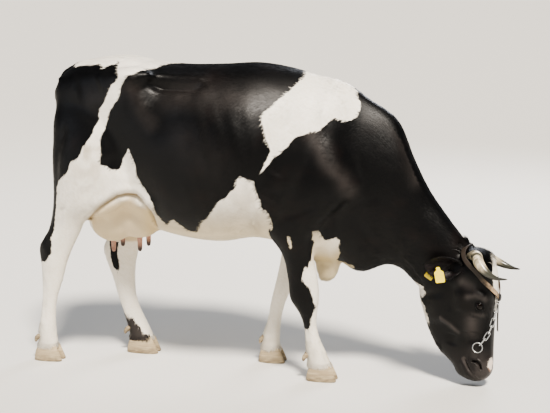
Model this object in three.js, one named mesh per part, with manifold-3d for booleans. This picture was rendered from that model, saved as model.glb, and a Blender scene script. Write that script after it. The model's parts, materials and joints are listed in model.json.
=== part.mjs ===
// A black and white dairy cow, life size, grazing: a still model for a museum floor.
// Millimetres. +X runs from tail to head, +Y to the cow's left, +Z up, with the floor at z = 0.
import * as THREE from "three";
import { mergeVertices } from "three/addons/utils/BufferGeometryUtils.js";
import Module from "manifold-3d";

const wasm = await Module();
wasm.setup();

// ---- driving dimensions ----
const GAP = 0.4; // left between two parts that touch
const BODY_SHIFT = 24; // moves the whole cow along X so that the origin lies under its middle
const RIGHT = -1; // the cow's right side is -Y
const LEFT = 1;
const WIDE = 900; // half-width of a cutting block that reaches past the body on both sides

const HEAD_TURN = -10; // degrees, the head turned to the cow's right about an upright line through the poll
const HEAD_PIVOT = 860; // x of that line

const EYE = { x: 984, y: 85, z: 402, radius: 22 };
const HORN = {
  // from the root inside the skull to the tip: x, sideways, z, radius
  // the right one climbs more, as a cow's two horns differ
  right: [
    [928, 46, 610, 24],
    [962, 86, 628, 25],
    [981, 112, 605, 24],
    [1000, 126, 585, 21.5],
    [1021, 133, 568, 18],
    [1046, 132, 552, 12.5],
    [1075, 124, 542, 7.5],
    [1112, 108, 539, 3],
  ],
  left: [
    [935, 44, 590, 24],
    [962, 84, 594, 24],
    [982, 112, 578, 22],
    [1004, 128, 563, 20],
    [1036, 134, 549, 16.5],
    [1070, 130, 540, 11],
    [1098, 120, 538, 6],
    [1121, 106, 540, 3],
  ],
  sides: 7,
};
const EAR = {
  root: [872, 66, 570],
  along: [-0.68, 0.72, 0.08], // which way the ear points
  length: 168,
  back: 6, // how far the middle of the leaf lies behind the line along the ear
  // at a share of its length: half-width, how far round it curls in degrees, thickness
  rows: [
    [0, 26, 150, 16],
    [0.15, 36, 125, 11],
    [0.38, 52, 88, 8],
    [0.62, 54, 64, 7],
    [0.82, 42, 50, 6],
    [0.95, 22, 40, 5],
    [1, 7, 30, 4],
  ],
  across: 5, // steps across each face
};
const TAG = {
  width: 48,
  height: 58,
  neck: 20,
  tab: 14,
  shoulder: 0.6, // how far down the slope beside the neck ends, as a share of the tab
  thick: 2.4,
  pin: 3.2,
  pinEnd: 3, // how far the pin stands out of each plate
  along: 0.64, // the pin's place as a share of the ear's length
  down: 13,
  front: 19, // how far before the ear's middle the front plate hangs
  back: 12,
  lean: 0.55, // how far the front plate faces upwards
  turn: -0.7, // how far the rear plate turns towards the ear's root
};
const CLAW = { spread: 23.5, half: 21.5, toe: 17, heel: 6 };
const DEWCLAW = { spread: 21, radii: [17, 12, 21], above: 112, sunk: 2 };
const TEAT = {
  radius: 12.5,
  // height above the tip and the radius there as a share
  stops: [[90, 1.1], [45, 1], [18, 0.9], [4, 0.7], [0, 0.25]],
};
const STRAP = { half: 10.5, thick: 5 };
const KNOB = { at: [1056, 0, 426], radius: 17, height: 14 };
const STRAP_TAIL = { half: 11, thick: 4, top: 404, low: 262, front: 1051 };
const LINK = {
  inner: 40,
  half: 8.5,
  wire: 1.9,
  pitch: 36,
  sides: 5,
  steps: 10,
  seenFrom: [0.7, -0.7, 0], // the links lie a quarter turn apart, either side of this way
};
const RING = { at: [981, -83, 204], radius: 22, wire: 2.4, facing: [0.1, -1, 0.25] };

// ---- cross-sections ----
// Each row is one cross-section: a name, its upper (or front) point x, z, its lower (or rear) point x, z,
// the sideways place of its middle, its half-width, how far up from the lower point it is widest (0 to 1),
// and how full its upper and lower halves are (2 is an ellipse, more is squarer).
const TRUNK = [
  ["tail head", -1035, 1300, -1035, 1160, 0, 70, 0.5, 2, 2],
  ["pin bones", -1020, 1372, -1020, 1050, 0, 155, 0.8, 2.4, 2],
  ["rump end", -965, 1447, -965, 930, 0, 195, 0.76, 2.2, 2],
  ["rump", -870, 1477, -870, 800, 0, 225, 0.78, 2.3, 2.1],
  ["sacrum", -715, 1492, -715, 700, 0, 255, 0.8, 2.6, 2.2],
  ["hooks", -600, 1470, -600, 668, 0, 280, 0.66, 2.9, 2.2],
  ["flank", -430, 1456, -430, 634, 0, 322, 0.47, 2.5, 2.2],
  ["last ribs", -240, 1460, -240, 622, 0, 355, 0.44, 2.15, 2.2],
  ["barrel", -60, 1468, -60, 648, 0, 345, 0.43, 1.95, 2.2],
  ["girth", 80, 1448, 80, 615, 0, 300, 0.46, 1.8, 2.1],
  ["withers", 200, 1416, 200, 548, 0, 245, 0.5, 1.7, 2],
  ["shoulders", 320, 1385, 320, 545, 0, 195, 0.5, 1.8, 2],
  ["chest front", 420, 1300, 420, 600, 0, 120, 0.5, 2, 2],
];
const NECK = [
  ["inside chest", 160, 1380, 200, 640, 0, 140, 0.45, 1.8, 2],
  ["base", 300, 1395, 300, 560, 0, 165, 0.45, 1.7, 2],
  ["chest", 440, 1315, 412, 500, 0, 150, 0.45, 1.7, 1.8],
  ["crest", 575, 1215, 530, 540, 0, 122, 0.48, 1.8, 1.9],
  ["middle", 655, 1035, 600, 525, 0, 108, 0.5, 1.9, 2],
  ["throat", 730, 893, 650, 480, 0, 98, 0.52, 1.9, 2.1],
  ["behind jaw", 815, 775, 690, 440, 0, 94, 0.54, 2, 2.2],
  ["nape", 905, 660, 745, 400, 0, 88, 0.55, 2, 2.2],
  ["under poll", 955, 595, 820, 400, 0, 68, 0.55, 2, 2.2],
];
const BRISKET = [
  ["top", 330, 640, 190, 640, 0, 60, 0.5, 2, 2],
  ["fold", 322, 560, 190, 545, 0, 56, 0.5, 2, 2],
  ["hang", 308, 500, 203, 488, 0, 44, 0.5, 2, 2],
  ["low", 285, 462, 222, 452, 0, 28, 0.5, 2, 2],
  ["edge", 262, 447, 240, 445, 0, 10, 0.5, 2, 2],
];
const HEAD = [
  ["crest", 982, 622, 925, 628, 0, 46, 0.5, 2, 2],
  ["poll", 1008, 603, 860, 622, 0, 82, 0.6, 2.4, 2],
  ["brow", 1034, 562, 775, 585, 0, 98, 0.66, 2.6, 2.2],
  ["forehead", 1045, 482, 688, 505, 0, 106, 0.7, 2.7, 2.1],
  ["eyes", 1046, 402, 677, 412, 0, 108, 0.76, 2.8, 1.9],
  ["cheek", 1040, 318, 704, 309, 0, 86, 0.66, 2.6, 2],
  ["nose bridge", 1038, 240, 735, 225, 0, 71, 0.62, 2.6, 2.2],
  ["mouth corner", 1038, 165, 784, 150, 0, 64, 0.58, 2.6, 2.4],
  ["muzzle", 1037, 104, 846, 95, 0, 69, 0.56, 2.7, 2.6],
  ["lips", 1029, 56, 876, 48, 0, 65, 0.56, 2.5, 2.5],
  ["mouth", 1000, 27, 928, 24, 0, 40, 0.5, 2, 2],
];
const FORELEG_RIGHT = [
  ["shoulder top", 285, 1230, 180, 1245, 128, 32, 0.5, 2, 2],
  ["shoulder blade", 355, 1070, 95, 1110, 150, 78, 0.5, 2, 2],
  ["shoulder point", 395, 915, 20, 950, 175, 86, 0.5, 2, 2],
  ["elbow", 315, 800, -25, 800, 172, 86, 0.5, 2, 2],
  ["armpit", 232, 700, -5, 710, 165, 75, 0.5, 2, 2],
  ["forearm", 218, 620, 58, 620, 150, 62, 0.5, 2, 2],
  ["forearm low", 238, 480, 92, 480, 135, 49, 0.5, 2.1, 2.1],
  ["knee", 242, 392, 104, 380, 125, 49, 0.5, 2.3, 2.3],
  ["under knee", 233, 333, 140, 325, 122, 41, 0.5, 2.2, 2.2],
  ["cannon", 230, 260, 163, 260, 118, 32, 0.5, 2.1, 2.1],
  ["above fetlock", 246, 195, 170, 195, 115, 35, 0.5, 2.1, 2.1],
  ["fetlock", 268, 145, 173, 140, 113, 43, 0.5, 2.1, 2.1],
  ["pastern", 290, 95, 180, 82, 112, 44, 0.5, 2.1, 2.1],
  ["coronet", 300, 72, 186, 56, 111, 47, 0.5, 2.2, 2.2],
];
const FORELEG_LEFT = [
  ["shoulder top", 235, 1230, 130, 1245, 128, 32, 0.5, 2, 2],
  ["shoulder blade", 305, 1070, 45, 1110, 150, 78, 0.5, 2, 2],
  ["shoulder point", 330, 915, -40, 950, 175, 86, 0.5, 2, 2],
  ["elbow", 255, 800, -70, 800, 172, 86, 0.5, 2, 2],
  ["armpit", 172, 700, -50, 710, 165, 75, 0.5, 2, 2],
  ["forearm", 145, 620, -5, 620, 152, 62, 0.5, 2, 2],
  ["forearm low", 108, 480, -13, 480, 138, 49, 0.5, 2.1, 2.1],
  ["knee", 66, 385, -34, 375, 128, 49, 0.5, 2.3, 2.3],
  ["under knee", 32, 315, -50, 308, 124, 41, 0.5, 2.2, 2.2],
  ["cannon", 11, 240, -62, 240, 120, 32, 0.5, 2.1, 2.1],
  ["above fetlock", 3, 178, -77, 175, 117, 36, 0.5, 2.1, 2.1],
  ["fetlock", 1, 138, -92, 130, 115, 43, 0.5, 2.1, 2.1],
  ["pastern", 0, 95, -96, 84, 113, 44, 0.5, 2.1, 2.1],
  ["coronet", 4, 72, -100, 56, 112, 47, 0.5, 2.2, 2.2],
];
const HIND_LEG_RIGHT = [
  ["hip", -640, 1300, -950, 1360, 130, 60, 0.5, 2, 2],
  ["thigh top", -600, 1150, -1030, 1240, 155, 92, 0.5, 2, 2],
  ["thigh", -600, 1000, -1036, 1080, 172, 108, 0.5, 2, 2],
  ["stifle", -625, 860, -1037, 960, 178, 104, 0.5, 2, 2],
  ["below stifle", -735, 765, -1038, 850, 173, 84, 0.5, 2, 2],
  ["gaskin", -880, 716, -1055, 745, 160, 62, 0.5, 2, 2],
  ["gaskin low", -922, 645, -1082, 665, 150, 50, 0.5, 2, 2],
  ["hock point", -968, 562, -1140, 567, 140, 42, 0.5, 2.2, 1.9],
  ["hock", -998, 497, -1137, 500, 132, 42, 0.5, 2.2, 2],
  ["under hock", -1025, 410, -1135, 410, 127, 36, 0.5, 2.1, 2.1],
  ["cannon", -1060, 310, -1142, 310, 122, 32, 0.5, 2.1, 2.1],
  ["above fetlock", -1073, 222, -1155, 212, 118, 34, 0.5, 2.1, 2.1],
  ["fetlock", -1073, 155, -1170, 142, 116, 42, 0.5, 2.1, 2.1],
  ["pastern", -1070, 108, -1170, 86, 114, 42, 0.5, 2.1, 2.1],
  ["coronet", -1066, 74, -1180, 56, 113, 46, 0.5, 2.2, 2.2],
];
const HIND_LEG_LEFT = [
  ["hip", -600, 1300, -950, 1360, 130, 60, 0.5, 2, 2],
  ["thigh top", -545, 1150, -1030, 1240, 155, 92, 0.5, 2, 2],
  ["thigh", -520, 1000, -1032, 1080, 172, 108, 0.5, 2, 2],
  ["stifle", -505, 860, -1000, 960, 178, 104, 0.5, 2, 2],
  ["below stifle", -540, 760, -940, 825, 173, 84, 0.5, 2, 2],
  ["gaskin", -650, 655, -900, 685, 160, 62, 0.5, 2, 2],
  ["gaskin low", -710, 575, -892, 605, 150, 50, 0.5, 2, 2],
  ["hock point", -735, 500, -922, 512, 140, 42, 0.5, 2.2, 1.9],
  ["hock", -745, 435, -902, 450, 135, 42, 0.5, 2.2, 2],
  ["under hock", -747, 365, -873, 376, 130, 36, 0.5, 2.1, 2.1],
  ["cannon", -738, 275, -843, 280, 125, 32, 0.5, 2.1, 2.1],
  ["above fetlock", -708, 200, -812, 195, 120, 35, 0.5, 2.1, 2.1],
  ["fetlock", -680, 142, -792, 135, 118, 42, 0.5, 2.1, 2.1],
  ["pastern", -660, 102, -782, 86, 116, 42, 0.5, 2.1, 2.1],
  ["coronet", -648, 74, -782, 56, 115, 46, 0.5, 2.2, 2.2],
];
const TAIL = [
  ["root", -965, 1405, -965, 1462, 0, 26, 0.5, 2, 2],
  ["dock", -1022, 1378, -1046, 1408, 0, 32, 0.5, 2, 2],
  ["bend", -1030, 1285, -1078, 1295, 0, 30, 0.5, 2, 2],
  ["upper", -1022, 1100, -1064, 1100, 2, 23, 0.5, 2, 2],
  ["middle", -1024, 850, -1058, 850, 8, 17, 0.5, 2, 2],
  ["end of dock", -1056, 650, -1086, 650, 14, 16, 0.5, 2, 2],
  ["switch", -1064, 560, -1116, 560, 15, 28, 0.5, 2, 2],
  ["switch full", -1068, 480, -1132, 480, 15, 35, 0.5, 2, 2],
  ["switch low", -1086, 405, -1126, 405, 15, 20, 0.5, 2, 2],
  ["switch tip", -1104, 352, -1112, 352, 15, 4, 0.5, 2, 2],
];
const UDDER_QUARTERS = [
  // x, sideways, z, then radii along X, Y, Z, and the teat's place under it
  { end: "rear", x: -785, y: 64, z: 728, radii: [126, 98, 130], teat: { x: -786, y: 62, tip: 549 } },
  { end: "fore", x: -655, y: 62, z: 742, radii: [132, 92, 122], teat: { x: -652, y: 62, tip: 557 } },
];
const BROW = { x: 962, y: 84, z: 428, radii: [44, 30, 26] };
const LEG_INSIDE = 61; // how far from the middle the cuts beside the legs lie
const HOOK_BONE = { x: -622, y: 196, z: 1392, radii: [120, 74, 62] };
const PIN_BONE = { x: -978, y: 112, z: 1312, radii: [82, 54, 62] };

// The strap's way round the head on one side: x, sideways, z and the way it faces.
const STRAP_PATH = [
  [1052, 0, 428, [1, 0, 0.1]],
  [1047, 38, 453, [0.9, 0.4, 0.1]],
  [1028, 77, 488, [0.55, 0.83, 0.1]],
  [1003, 98, 518, [0.25, 0.97, 0.1]],
  [982, 105, 545, [0.1, 1, 0.05]],
  [958, 109, 570, [0, 1, 0.05]],
  [932, 107, 593, [0, 0.98, 0.2]],
  [911, 97, 617, [-0.1, 0.9, 0.45]],
  [901, 73, 639, [-0.1, 0.6, 0.8]],
  [903, 38, 654, [-0.1, 0.25, 1]],
  [905, 0, 658, [-0.1, 0, 1]],
];
// The chain from the knob across the right side of the nose to the ring.
const CHAIN_PATH = [
  [1055, -46, 404],
  [1051, -54, 368],
  [1044, -60, 332],
  [1032, -66, 288],
  [1014, -74, 250],
  [992, -80, 217],
];

// ---- shaping functions ----
/** The rows of a table at even steps of length, on one smooth cubic through every row. */
function smoothRows(table, steps) {
  const rows = table.map((row) => row.slice(1));
  const middle = (r) => [(r[0] + r[2]) / 2, (r[1] + r[3]) / 2, r[4]];
  const spans = rows.slice(1).map((row, i) => {
    const [a, b] = [middle(rows[i]), middle(row)];
    return Math.hypot(b[0] - a[0], b[1] - a[1], b[2] - a[2]);
  });
  const total = spans.reduce((sum, span) => sum + span, 0);
  const slope = (i, c) => (rows[i + 1][c] - rows[i][c]) / spans[i];
  const tangent = (i, c) => {
    if (i === 0) return slope(0, c);
    if (i === rows.length - 1) return slope(i - 1, c);
    const [before, after] = [spans[i - 1], spans[i]];
    return (slope(i - 1, c) * after + slope(i, c) * before) / (before + after);
  };
  const out = [];
  spans.forEach((span, i) => {
    const count = Math.max(1, Math.round((steps * span) / total));
    for (let k = 0; k < count; k++) {
      const u = k / count;
      out.push(
        rows[i].map((value, c) => {
          const [m0, m1] = [tangent(i, c) * span, tangent(i + 1, c) * span];
          const rise = 3 * u ** 2 - 2 * u ** 3;
          const lean = (u ** 3 - 2 * u ** 2 + u) * m0 + (u ** 3 - u ** 2) * m1;
          return value + rise * (rows[i + 1][c] - value) + lean;
        }),
      );
    }
  });
  out.push(rows.at(-1));
  return out;
}

/** A closed skin over rings of points, each ring joined to the next and the two ends closed by fans. */
function skinOver(rings) {
  const around = rings[0].length;
  const points = rings.flat();
  const centre = (ring) => ring.reduce((sum, p) => sum.add(p), new THREE.Vector3()).divideScalar(around);
  points.push(centre(rings[0]), centre(rings.at(-1)));
  const [first, last] = [points.length - 2, points.length - 1];
  const index = [];
  for (let i = 0; i < rings.length - 1; i++) {
    for (let j = 0; j < around; j++) {
      const [a, b] = [i * around + j, i * around + ((j + 1) % around)];
      index.push(a, a + around, b, b, a + around, b + around);
    }
  }
  const end = (rings.length - 1) * around;
  for (let j = 0; j < around; j++) {
    const next = (j + 1) % around;
    index.push(first, j, next, last, end + next, end + j);
  }
  const geometry = new THREE.BufferGeometry().setFromPoints(points);
  return geometry.setIndex(index);
}

/** The ring of one cross-section: two half superellipses that meet where it is widest. */
function sectionRing([tx, tz, bx, bz, y, half, widest, crown, keel], side, around, grow) {
  const signedPower = (value, power) => Math.sign(value) * Math.abs(value) ** power;
  const [top, low] = [new THREE.Vector3(tx, y * side, tz), new THREE.Vector3(bx, y * side, bz)];
  const height = top.distanceTo(low);
  const up = top.clone().sub(low).normalize();
  const middle = low.clone().addScaledVector(up, height * widest);
  return Array.from({ length: around }, (_, j) => {
    const angle = ((j + 0.5) / around) * 2 * Math.PI;
    const [c, s] = [Math.cos(angle), Math.sin(angle)];
    const power = 2 / (s >= 0 ? crown : keel);
    const reach = height * (s >= 0 ? 1 - widest : widest) + grow;
    return middle
      .clone()
      .addScaledVector(up, signedPower(s, power) * reach)
      .add(new THREE.Vector3(0, signedPower(c, power) * (half + grow), 0));
  });
}

/** A limb or body along its cross-sections; grow makes it fatter all round. */
function loft(table, { side = LEFT, steps = 14, around = 16, grow = 0 } = {}) {
  return skinOver(smoothRows(table, steps).map((row) => sectionRing(row, side, around, grow)));
}

/** An ellipsoid of the given radii. */
function ellipsoid([x, y, z], [rx, ry, rz], around = 14, up = 9) {
  return new THREE.SphereGeometry(1, around, up).rotateX(Math.PI / 2).scale(rx, ry, rz).translate(x, y, z);
}

/** A block with the given outline in the side view, between two sideways places. */
function sideBlock(outline, from, to) {
  const shape = new THREE.Shape(outline.map(([x, z]) => new THREE.Vector2(x, z)));
  const block = new THREE.ExtrudeGeometry(shape, { depth: to - from, bevelEnabled: false });
  return block.rotateX(Math.PI / 2).translate(0, to, 0);
}

/** Turns a geometry with the head, about the upright line through the poll. */
function withHead(geometry) {
  const turn = THREE.MathUtils.degToRad(HEAD_TURN);
  return geometry.translate(-HEAD_PIVOT, 0, 0).rotateZ(turn).translate(HEAD_PIVOT, 0, 0);
}

/** A geometry as a manifold-3d solid with its faces outwards. */
function solid(geometry) {
  const bare = new THREE.BufferGeometry().setAttribute("position", geometry.getAttribute("position"));
  bare.setIndex(geometry.index);
  const merged = mergeVertices(bare, 1e-3);
  const triVerts = new Uint32Array(merged.index.array);
  const vertProperties = merged.attributes.position.array;
  const make = () => new wasm.Manifold(new wasm.Mesh({ numProp: 3, vertProperties, triVerts }));
  const made = make();
  if (made.volume() >= 0) return made;
  for (let i = 0; i < triVerts.length; i += 3) {
    [triVerts[i + 1], triVerts[i + 2]] = [triVerts[i + 2], triVerts[i + 1]];
  }
  return make();
}

/** The largest body of a solid, which leaves slivers out. */
function largest(made) {
  return made.decompose().reduce((best, body) => (body.volume() > best.volume() ? body : best));
}

/** Joins rings of points into a closed loop, such as a strap round the head. */
function loopOver(rings) {
  const around = rings[0].length;
  const index = [];
  rings.forEach((_, i) => {
    const next = (i + 1) % rings.length;
    for (let j = 0; j < around; j++) {
      const turn = (j + 1) % around;
      index.push(i * around + j, next * around + j, i * around + turn);
      index.push(i * around + turn, next * around + j, next * around + turn);
    }
  });
  return new THREE.BufferGeometry().setFromPoints(rings.flat()).setIndex(index);
}

/** A round tapering piece along points of x, sideways, z, radius: a horn or a teat. */
function taper(points, { side = LEFT, sides = 10, steps = 9, grow = 0 } = {}) {
  const line = new THREE.CatmullRomCurve3(points.map(([x, y, z]) => new THREE.Vector3(x, y * side, z)));
  const sizes = new THREE.CatmullRomCurve3(points.map(([, , , radius]) => new THREE.Vector3(radius, 0, 0)));
  const frames = line.computeFrenetFrames(steps);
  const rings = Array.from({ length: steps + 1 }, (_, i) => {
    const middle = line.getPoint(i / steps);
    const radius = sizes.getPoint(i / steps).x + grow;
    return Array.from({ length: sides }, (_, j) => {
      const angle = (j / sides) * 2 * Math.PI;
      return middle
        .clone()
        .addScaledVector(frames.normals[i], Math.cos(angle) * radius)
        .addScaledVector(frames.binormals[i], Math.sin(angle) * radius);
    });
  });
  return skinOver(rings);
}

/** The directions of an ear: along it, across its width, and the way its hollow faces. */
function earFrame(side) {
  const along = new THREE.Vector3(EAR.along[0], EAR.along[1] * side, EAR.along[2]).normalize();
  const hollow = new THREE.Vector3(0.72, 0.68 * side, -0.12).normalize();
  const width = new THREE.Vector3().crossVectors(hollow, along).normalize();
  return { along, hollow: new THREE.Vector3().crossVectors(along, width).normalize(), width };
}

/** A place on an ear at a share of its length, and lifted from its middle towards the hollow. */
function earPlace(side, share, lift) {
  const { along, hollow } = earFrame(side);
  const root = new THREE.Vector3(EAR.root[0], EAR.root[1] * side, EAR.root[2]);
  return root.addScaledVector(along, EAR.length * share).addScaledVector(hollow, lift);
}

/** An ear: a leaf whose section is an arc, tight at the root and open at the tip. */
function ear(side) {
  const { hollow, width } = earFrame(side);
  const rings = EAR.rows.map(([share, half, curlDegrees, thick]) => {
    const curl = THREE.MathUtils.degToRad(curlDegrees);
    const bend = half / Math.sin(Math.min(curl, Math.PI / 2));
    const at = (turn, radius) => {
      const lift = bend - radius * Math.cos(turn) - EAR.back;
      return earPlace(side, share, lift).addScaledVector(width, radius * Math.sin(turn));
    };
    const turns = Array.from({ length: EAR.across + 1 }, (_, j) => curl * ((2 * j) / EAR.across - 1));
    const back = turns.map((turn) => at(turn, bend + thick / 2));
    const inside = turns.map((turn) => at(turn, bend - thick / 2)).reverse();
    return [...back, ...inside];
  });
  return skinOver(rings);
}

/** One claw of a hoof: flat underneath, sloping in to the coronet above. */
function claw(coronet, side, offset) {
  const [, frontX, frontZ, rearX, rearZ, y] = coronet;
  const middle = y + offset * CLAW.spread;
  const top = GAP + 0.2;
  const rows = [
    ["sole", frontX + CLAW.toe - 6, 0, rearX - CLAW.heel + 4, 0, middle, CLAW.half - 3, 0.45, 2.2, 2.6],
    ["rim", frontX + CLAW.toe, 7, rearX - CLAW.heel, 7, middle, CLAW.half, 0.45, 2.2, 2.6],
    ["wall", frontX + CLAW.toe * 0.45, 40, rearX - 4, 32, middle, CLAW.half, 0.45, 2.2, 2.6],
    ["coronet", frontX - 2, frontZ - top, rearX + 3, rearZ - top, middle, CLAW.half - 1, 0.45, 2.2, 2.6],
  ];
  return skinOver(straightRings(rows, side, 8));
}

/** The rings of a short table, one to each row, with straight walls between. */
function straightRings(table, side, around) {
  return table.map((row) => sectionRing(row.slice(1), side, around, 0));
}

/** A plate with a narrow tab above it for the pin, as an ear tag has. */
function tagPlate() {
  const { width, height, neck, tab, thick } = TAG;
  const shape = new THREE.Shape();
  shape.moveTo(-width / 2, -height).lineTo(width / 2, -height).lineTo(width / 2, -tab * TAG.shoulder);
  shape.lineTo(neck / 2, 0).lineTo(neck / 2, tab).lineTo(-neck / 2, tab).lineTo(-neck / 2, 0);
  shape.lineTo(-width / 2, -tab * TAG.shoulder);
  return new THREE.ExtrudeGeometry(shape, { depth: thick, bevelEnabled: false });
}

/** Places a geometry made around its own origin: its Z goes to facing, its Y to upward. */
function placed(geometry, at, facing, upward) {
  const z = facing.clone().normalize();
  const x = new THREE.Vector3().crossVectors(upward, z).normalize();
  const basis = new THREE.Matrix4().makeBasis(x, new THREE.Vector3().crossVectors(z, x), z);
  return geometry.applyMatrix4(basis.setPosition(at));
}

/** The strap round the horns: a flat band that follows STRAP_PATH up one side and down the other. */
function strapBand() {
  const between = STRAP_PATH.slice(1, -1).reverse();
  const mirrored = between.map(([x, y, z, [nx, ny, nz]]) => [x, -y, z, [nx, -ny, nz]]);
  const stops = [...STRAP_PATH, ...mirrored];
  const line = new THREE.CatmullRomCurve3(stops.map(([x, y, z]) => new THREE.Vector3(x, y, z)), true);
  const facing = new THREE.CatmullRomCurve3(stops.map(([, , , n]) => new THREE.Vector3(...n)), true);
  const steps = stops.length;
  const rings = Array.from({ length: steps }, (_, i) => {
    const middle = line.getPoint(i / steps);
    const out = facing.getPoint(i / steps).normalize();
    const across = new THREE.Vector3().crossVectors(out, line.getTangent(i / steps)).normalize();
    const corner = (u, v) =>
      middle.clone().addScaledVector(across, u * STRAP.half).addScaledVector(out, v * STRAP.thick * 0.5);
    return [corner(-1, -1), corner(1, -1), corner(1, 1), corner(-1, 1)];
  });
  return loopOver(rings);
}

/** An oval wire link, lying in the plane of its length and the width direction. */
function link(at, along, width) {
  const [long, half] = [LINK.inner / 2 - LINK.half + LINK.wire, LINK.half];
  const points = Array.from({ length: LINK.steps }, (_, i) => {
    const angle = (i / LINK.steps) * 2 * Math.PI;
    const push = long * Math.sign(Math.cos(angle)) * Math.min(1, Math.abs(Math.cos(angle)) * 3);
    return at
      .clone()
      .addScaledVector(along, Math.cos(angle) * half + push)
      .addScaledVector(width, Math.sin(angle) * half);
  });
  const loop = new THREE.CatmullRomCurve3(points, true, "catmullrom", 0.6);
  return new THREE.TubeGeometry(loop, LINK.steps, LINK.wire, LINK.sides, true);
}

/** Parts a solid with a block: the piece inside it, and the rest, with the gap between them. */
function parted(whole, outline, from = -WIDE, to = WIDE) {
  const block = solid(sideBlock(outline, from, to));
  const wider = solid(sideBlock(grownOutline(outline), from - GAP, to + GAP));
  return [whole.intersect(block), whole.subtract(wider)];
}

/** A side outline moved outwards by the gap, for an outline that runs anticlockwise. */
function grownOutline(outline) {
  return outline.map((point, i) => {
    const [before, after] = [outline.at(i - 1), outline[(i + 1) % outline.length]];
    const normal = ([ax, az], [bx, bz]) => {
      const length = Math.hypot(bx - ax, bz - az);
      return [(bz - az) / length, (ax - bx) / length];
    };
    const [[ux, uz], [vx, vz]] = [normal(before, point), normal(point, after)];
    const share = GAP / (1 + ux * vx + uz * vz);
    return [point[0] + (ux + vx) * share, point[1] + (uz + vz) * share];
  });
}

const cow = new THREE.Group();

/** Adds a named mesh to the cow. */
function add(name, made, finish) {
  const { vertProperties, triVerts, numProp } = largest(made).getMesh();
  const geometry = new THREE.BufferGeometry();
  geometry.setAttribute("position", new THREE.BufferAttribute(new Float32Array(vertProperties), numProp));
  geometry.setIndex(new THREE.BufferAttribute(new Uint32Array(triVerts), 1));
  geometry.computeVertexNormals();
  const mesh = new THREE.Mesh(geometry, new THREE.MeshStandardMaterial(finish));
  mesh.name = name;
  mesh.position.x = BODY_SHIFT;
  cow.add(mesh);
}

// ---- finishes ----
const COAT = { color: "#1c1a1d", roughness: 0.6, metalness: 0 };
const WHITE_COAT = { color: "#e8e0d2", roughness: 0.7, metalness: 0 };
const UDDER_SKIN = { color: "#c9b49a", roughness: 0.6, metalness: 0 };
const HORN_FINISH = { color: "#d8cbb0", roughness: 0.35, metalness: 0 };
const CLAW_FINISH = { color: "#8a7458", roughness: 0.5, metalness: 0 };
const EYEBALL = { color: "#14100e", roughness: 0.08, metalness: 0 };
const TAG_FINISH = { color: "#f2dc28", roughness: 0.4, metalness: 0 };
const LEATHER = { color: "#a47a4e", roughness: 0.6, metalness: 0 };
const DARK_LEATHER = { color: "#33211a", roughness: 0.6, metalness: 0 };
const STEEL = { color: "#b9bdbe", roughness: 0.3, metalness: 1 };

// ---- the flesh, made whole ----
const LEGS = [
  { name: "foreleg_right", table: FORELEG_RIGHT, side: RIGHT, split: 400 },
  { name: "foreleg_left", table: FORELEG_LEFT, side: LEFT, split: 400 },
  { name: "hind_leg_right", table: HIND_LEG_RIGHT, side: RIGHT, split: 500 },
  { name: "hind_leg_left", table: HIND_LEG_LEFT, side: LEFT, split: 450 },
];
const legLoft = ({ table, side }, grow) => solid(loft(table, { side, steps: 13, around: 10, grow }));
const headLoft = (grow) => solid(withHead(loft(HEAD, { steps: 12, around: 14, grow })));
const neckLoft = (grow) => solid(loft(NECK, { steps: 9, around: 14, grow }));
const tailLoft = (grow) => solid(loft(TAIL, { steps: 14, around: 7, grow }));

/** The four quarters of the udder as one solid. */
function udderSolid(grow) {
  const quarters = UDDER_QUARTERS.flatMap(({ x, y, z, radii }) =>
    [RIGHT, LEFT].map((side) => solid(ellipsoid([x, y * side, z], radii.map((r) => r + grow), 9, 5))),
  );
  return quarters.reduce((sum, quarter) => sum.add(quarter));
}

let flesh = solid(loft(TRUNK, { steps: 14, around: 16 }))
  .add(neckLoft(0))
  .add(solid(loft(BRISKET, { steps: 5, around: 10 })))
  .add(headLoft(0));
for (const leg of LEGS) flesh = flesh.add(legLoft(leg, 0));
for (const side of [RIGHT, LEFT]) {
  for (const { x, y, z, radii } of [HOOK_BONE, PIN_BONE]) {
    flesh = flesh.add(solid(ellipsoid([x, y * side, z], radii, 8, 5)));
  }
  const brow = withHead(ellipsoid([BROW.x, BROW.y * side, BROW.z], BROW.radii, 10, 6));
  flesh = flesh.add(solid(brow));
}
flesh = flesh.subtract(tailLoft(GAP)).subtract(udderSolid(GAP));

// ---- eyes ----
for (const [name, side] of [["eye_right", RIGHT], ["eye_left", LEFT]]) {
  const centre = [EYE.x, EYE.y * side, EYE.z];
  const ball = (radius) => solid(withHead(ellipsoid(centre, [radius, radius, radius], 8, 6)));
  add(name, ball(EYE.radius), EYEBALL);
  flesh = flesh.subtract(ball(EYE.radius + GAP));
}

// ---- the flesh, parted ----
const HEAD_OUTLINE = [[600, -50], [1200, -50], [1200, 760], [1040, 760], [665, 440], [600, 300]];
const NECK_OUTLINE = [
  [472, 400], [600, 260], [600, 300.5], [665, 440.5], [1040, 760.5], [1040, 1500], [352, 1500],
];
let piece;
[piece, flesh] = parted(flesh, HEAD_OUTLINE);
add("head", piece, COAT);
[piece, flesh] = parted(flesh, NECK_OUTLINE);
add("neck", piece, COAT);
const LEG_OUTLINES = {
  foreleg_right: [[-60, -50], [420, -50], [400, 420], [262, 668], [60, 735], [-90, 780]],
  foreleg_left: [[-200, -50], [200, -50], [200, 560], [190, 668], [10, 735], [-130, 780]],
  hind_leg_right: [
    [-1300, -50], [-930, -50], [-905, 600], [-870, 690], [-730, 735], [-610, 800], [-570, 905], [-1300, 1250],
  ],
  hind_leg_left: [
    [-1300, -50], [-560, -50], [-690, 300], [-690, 560], [-600, 650], [-480, 780], [-455, 905], [-1300, 1250],
  ],
};
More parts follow.
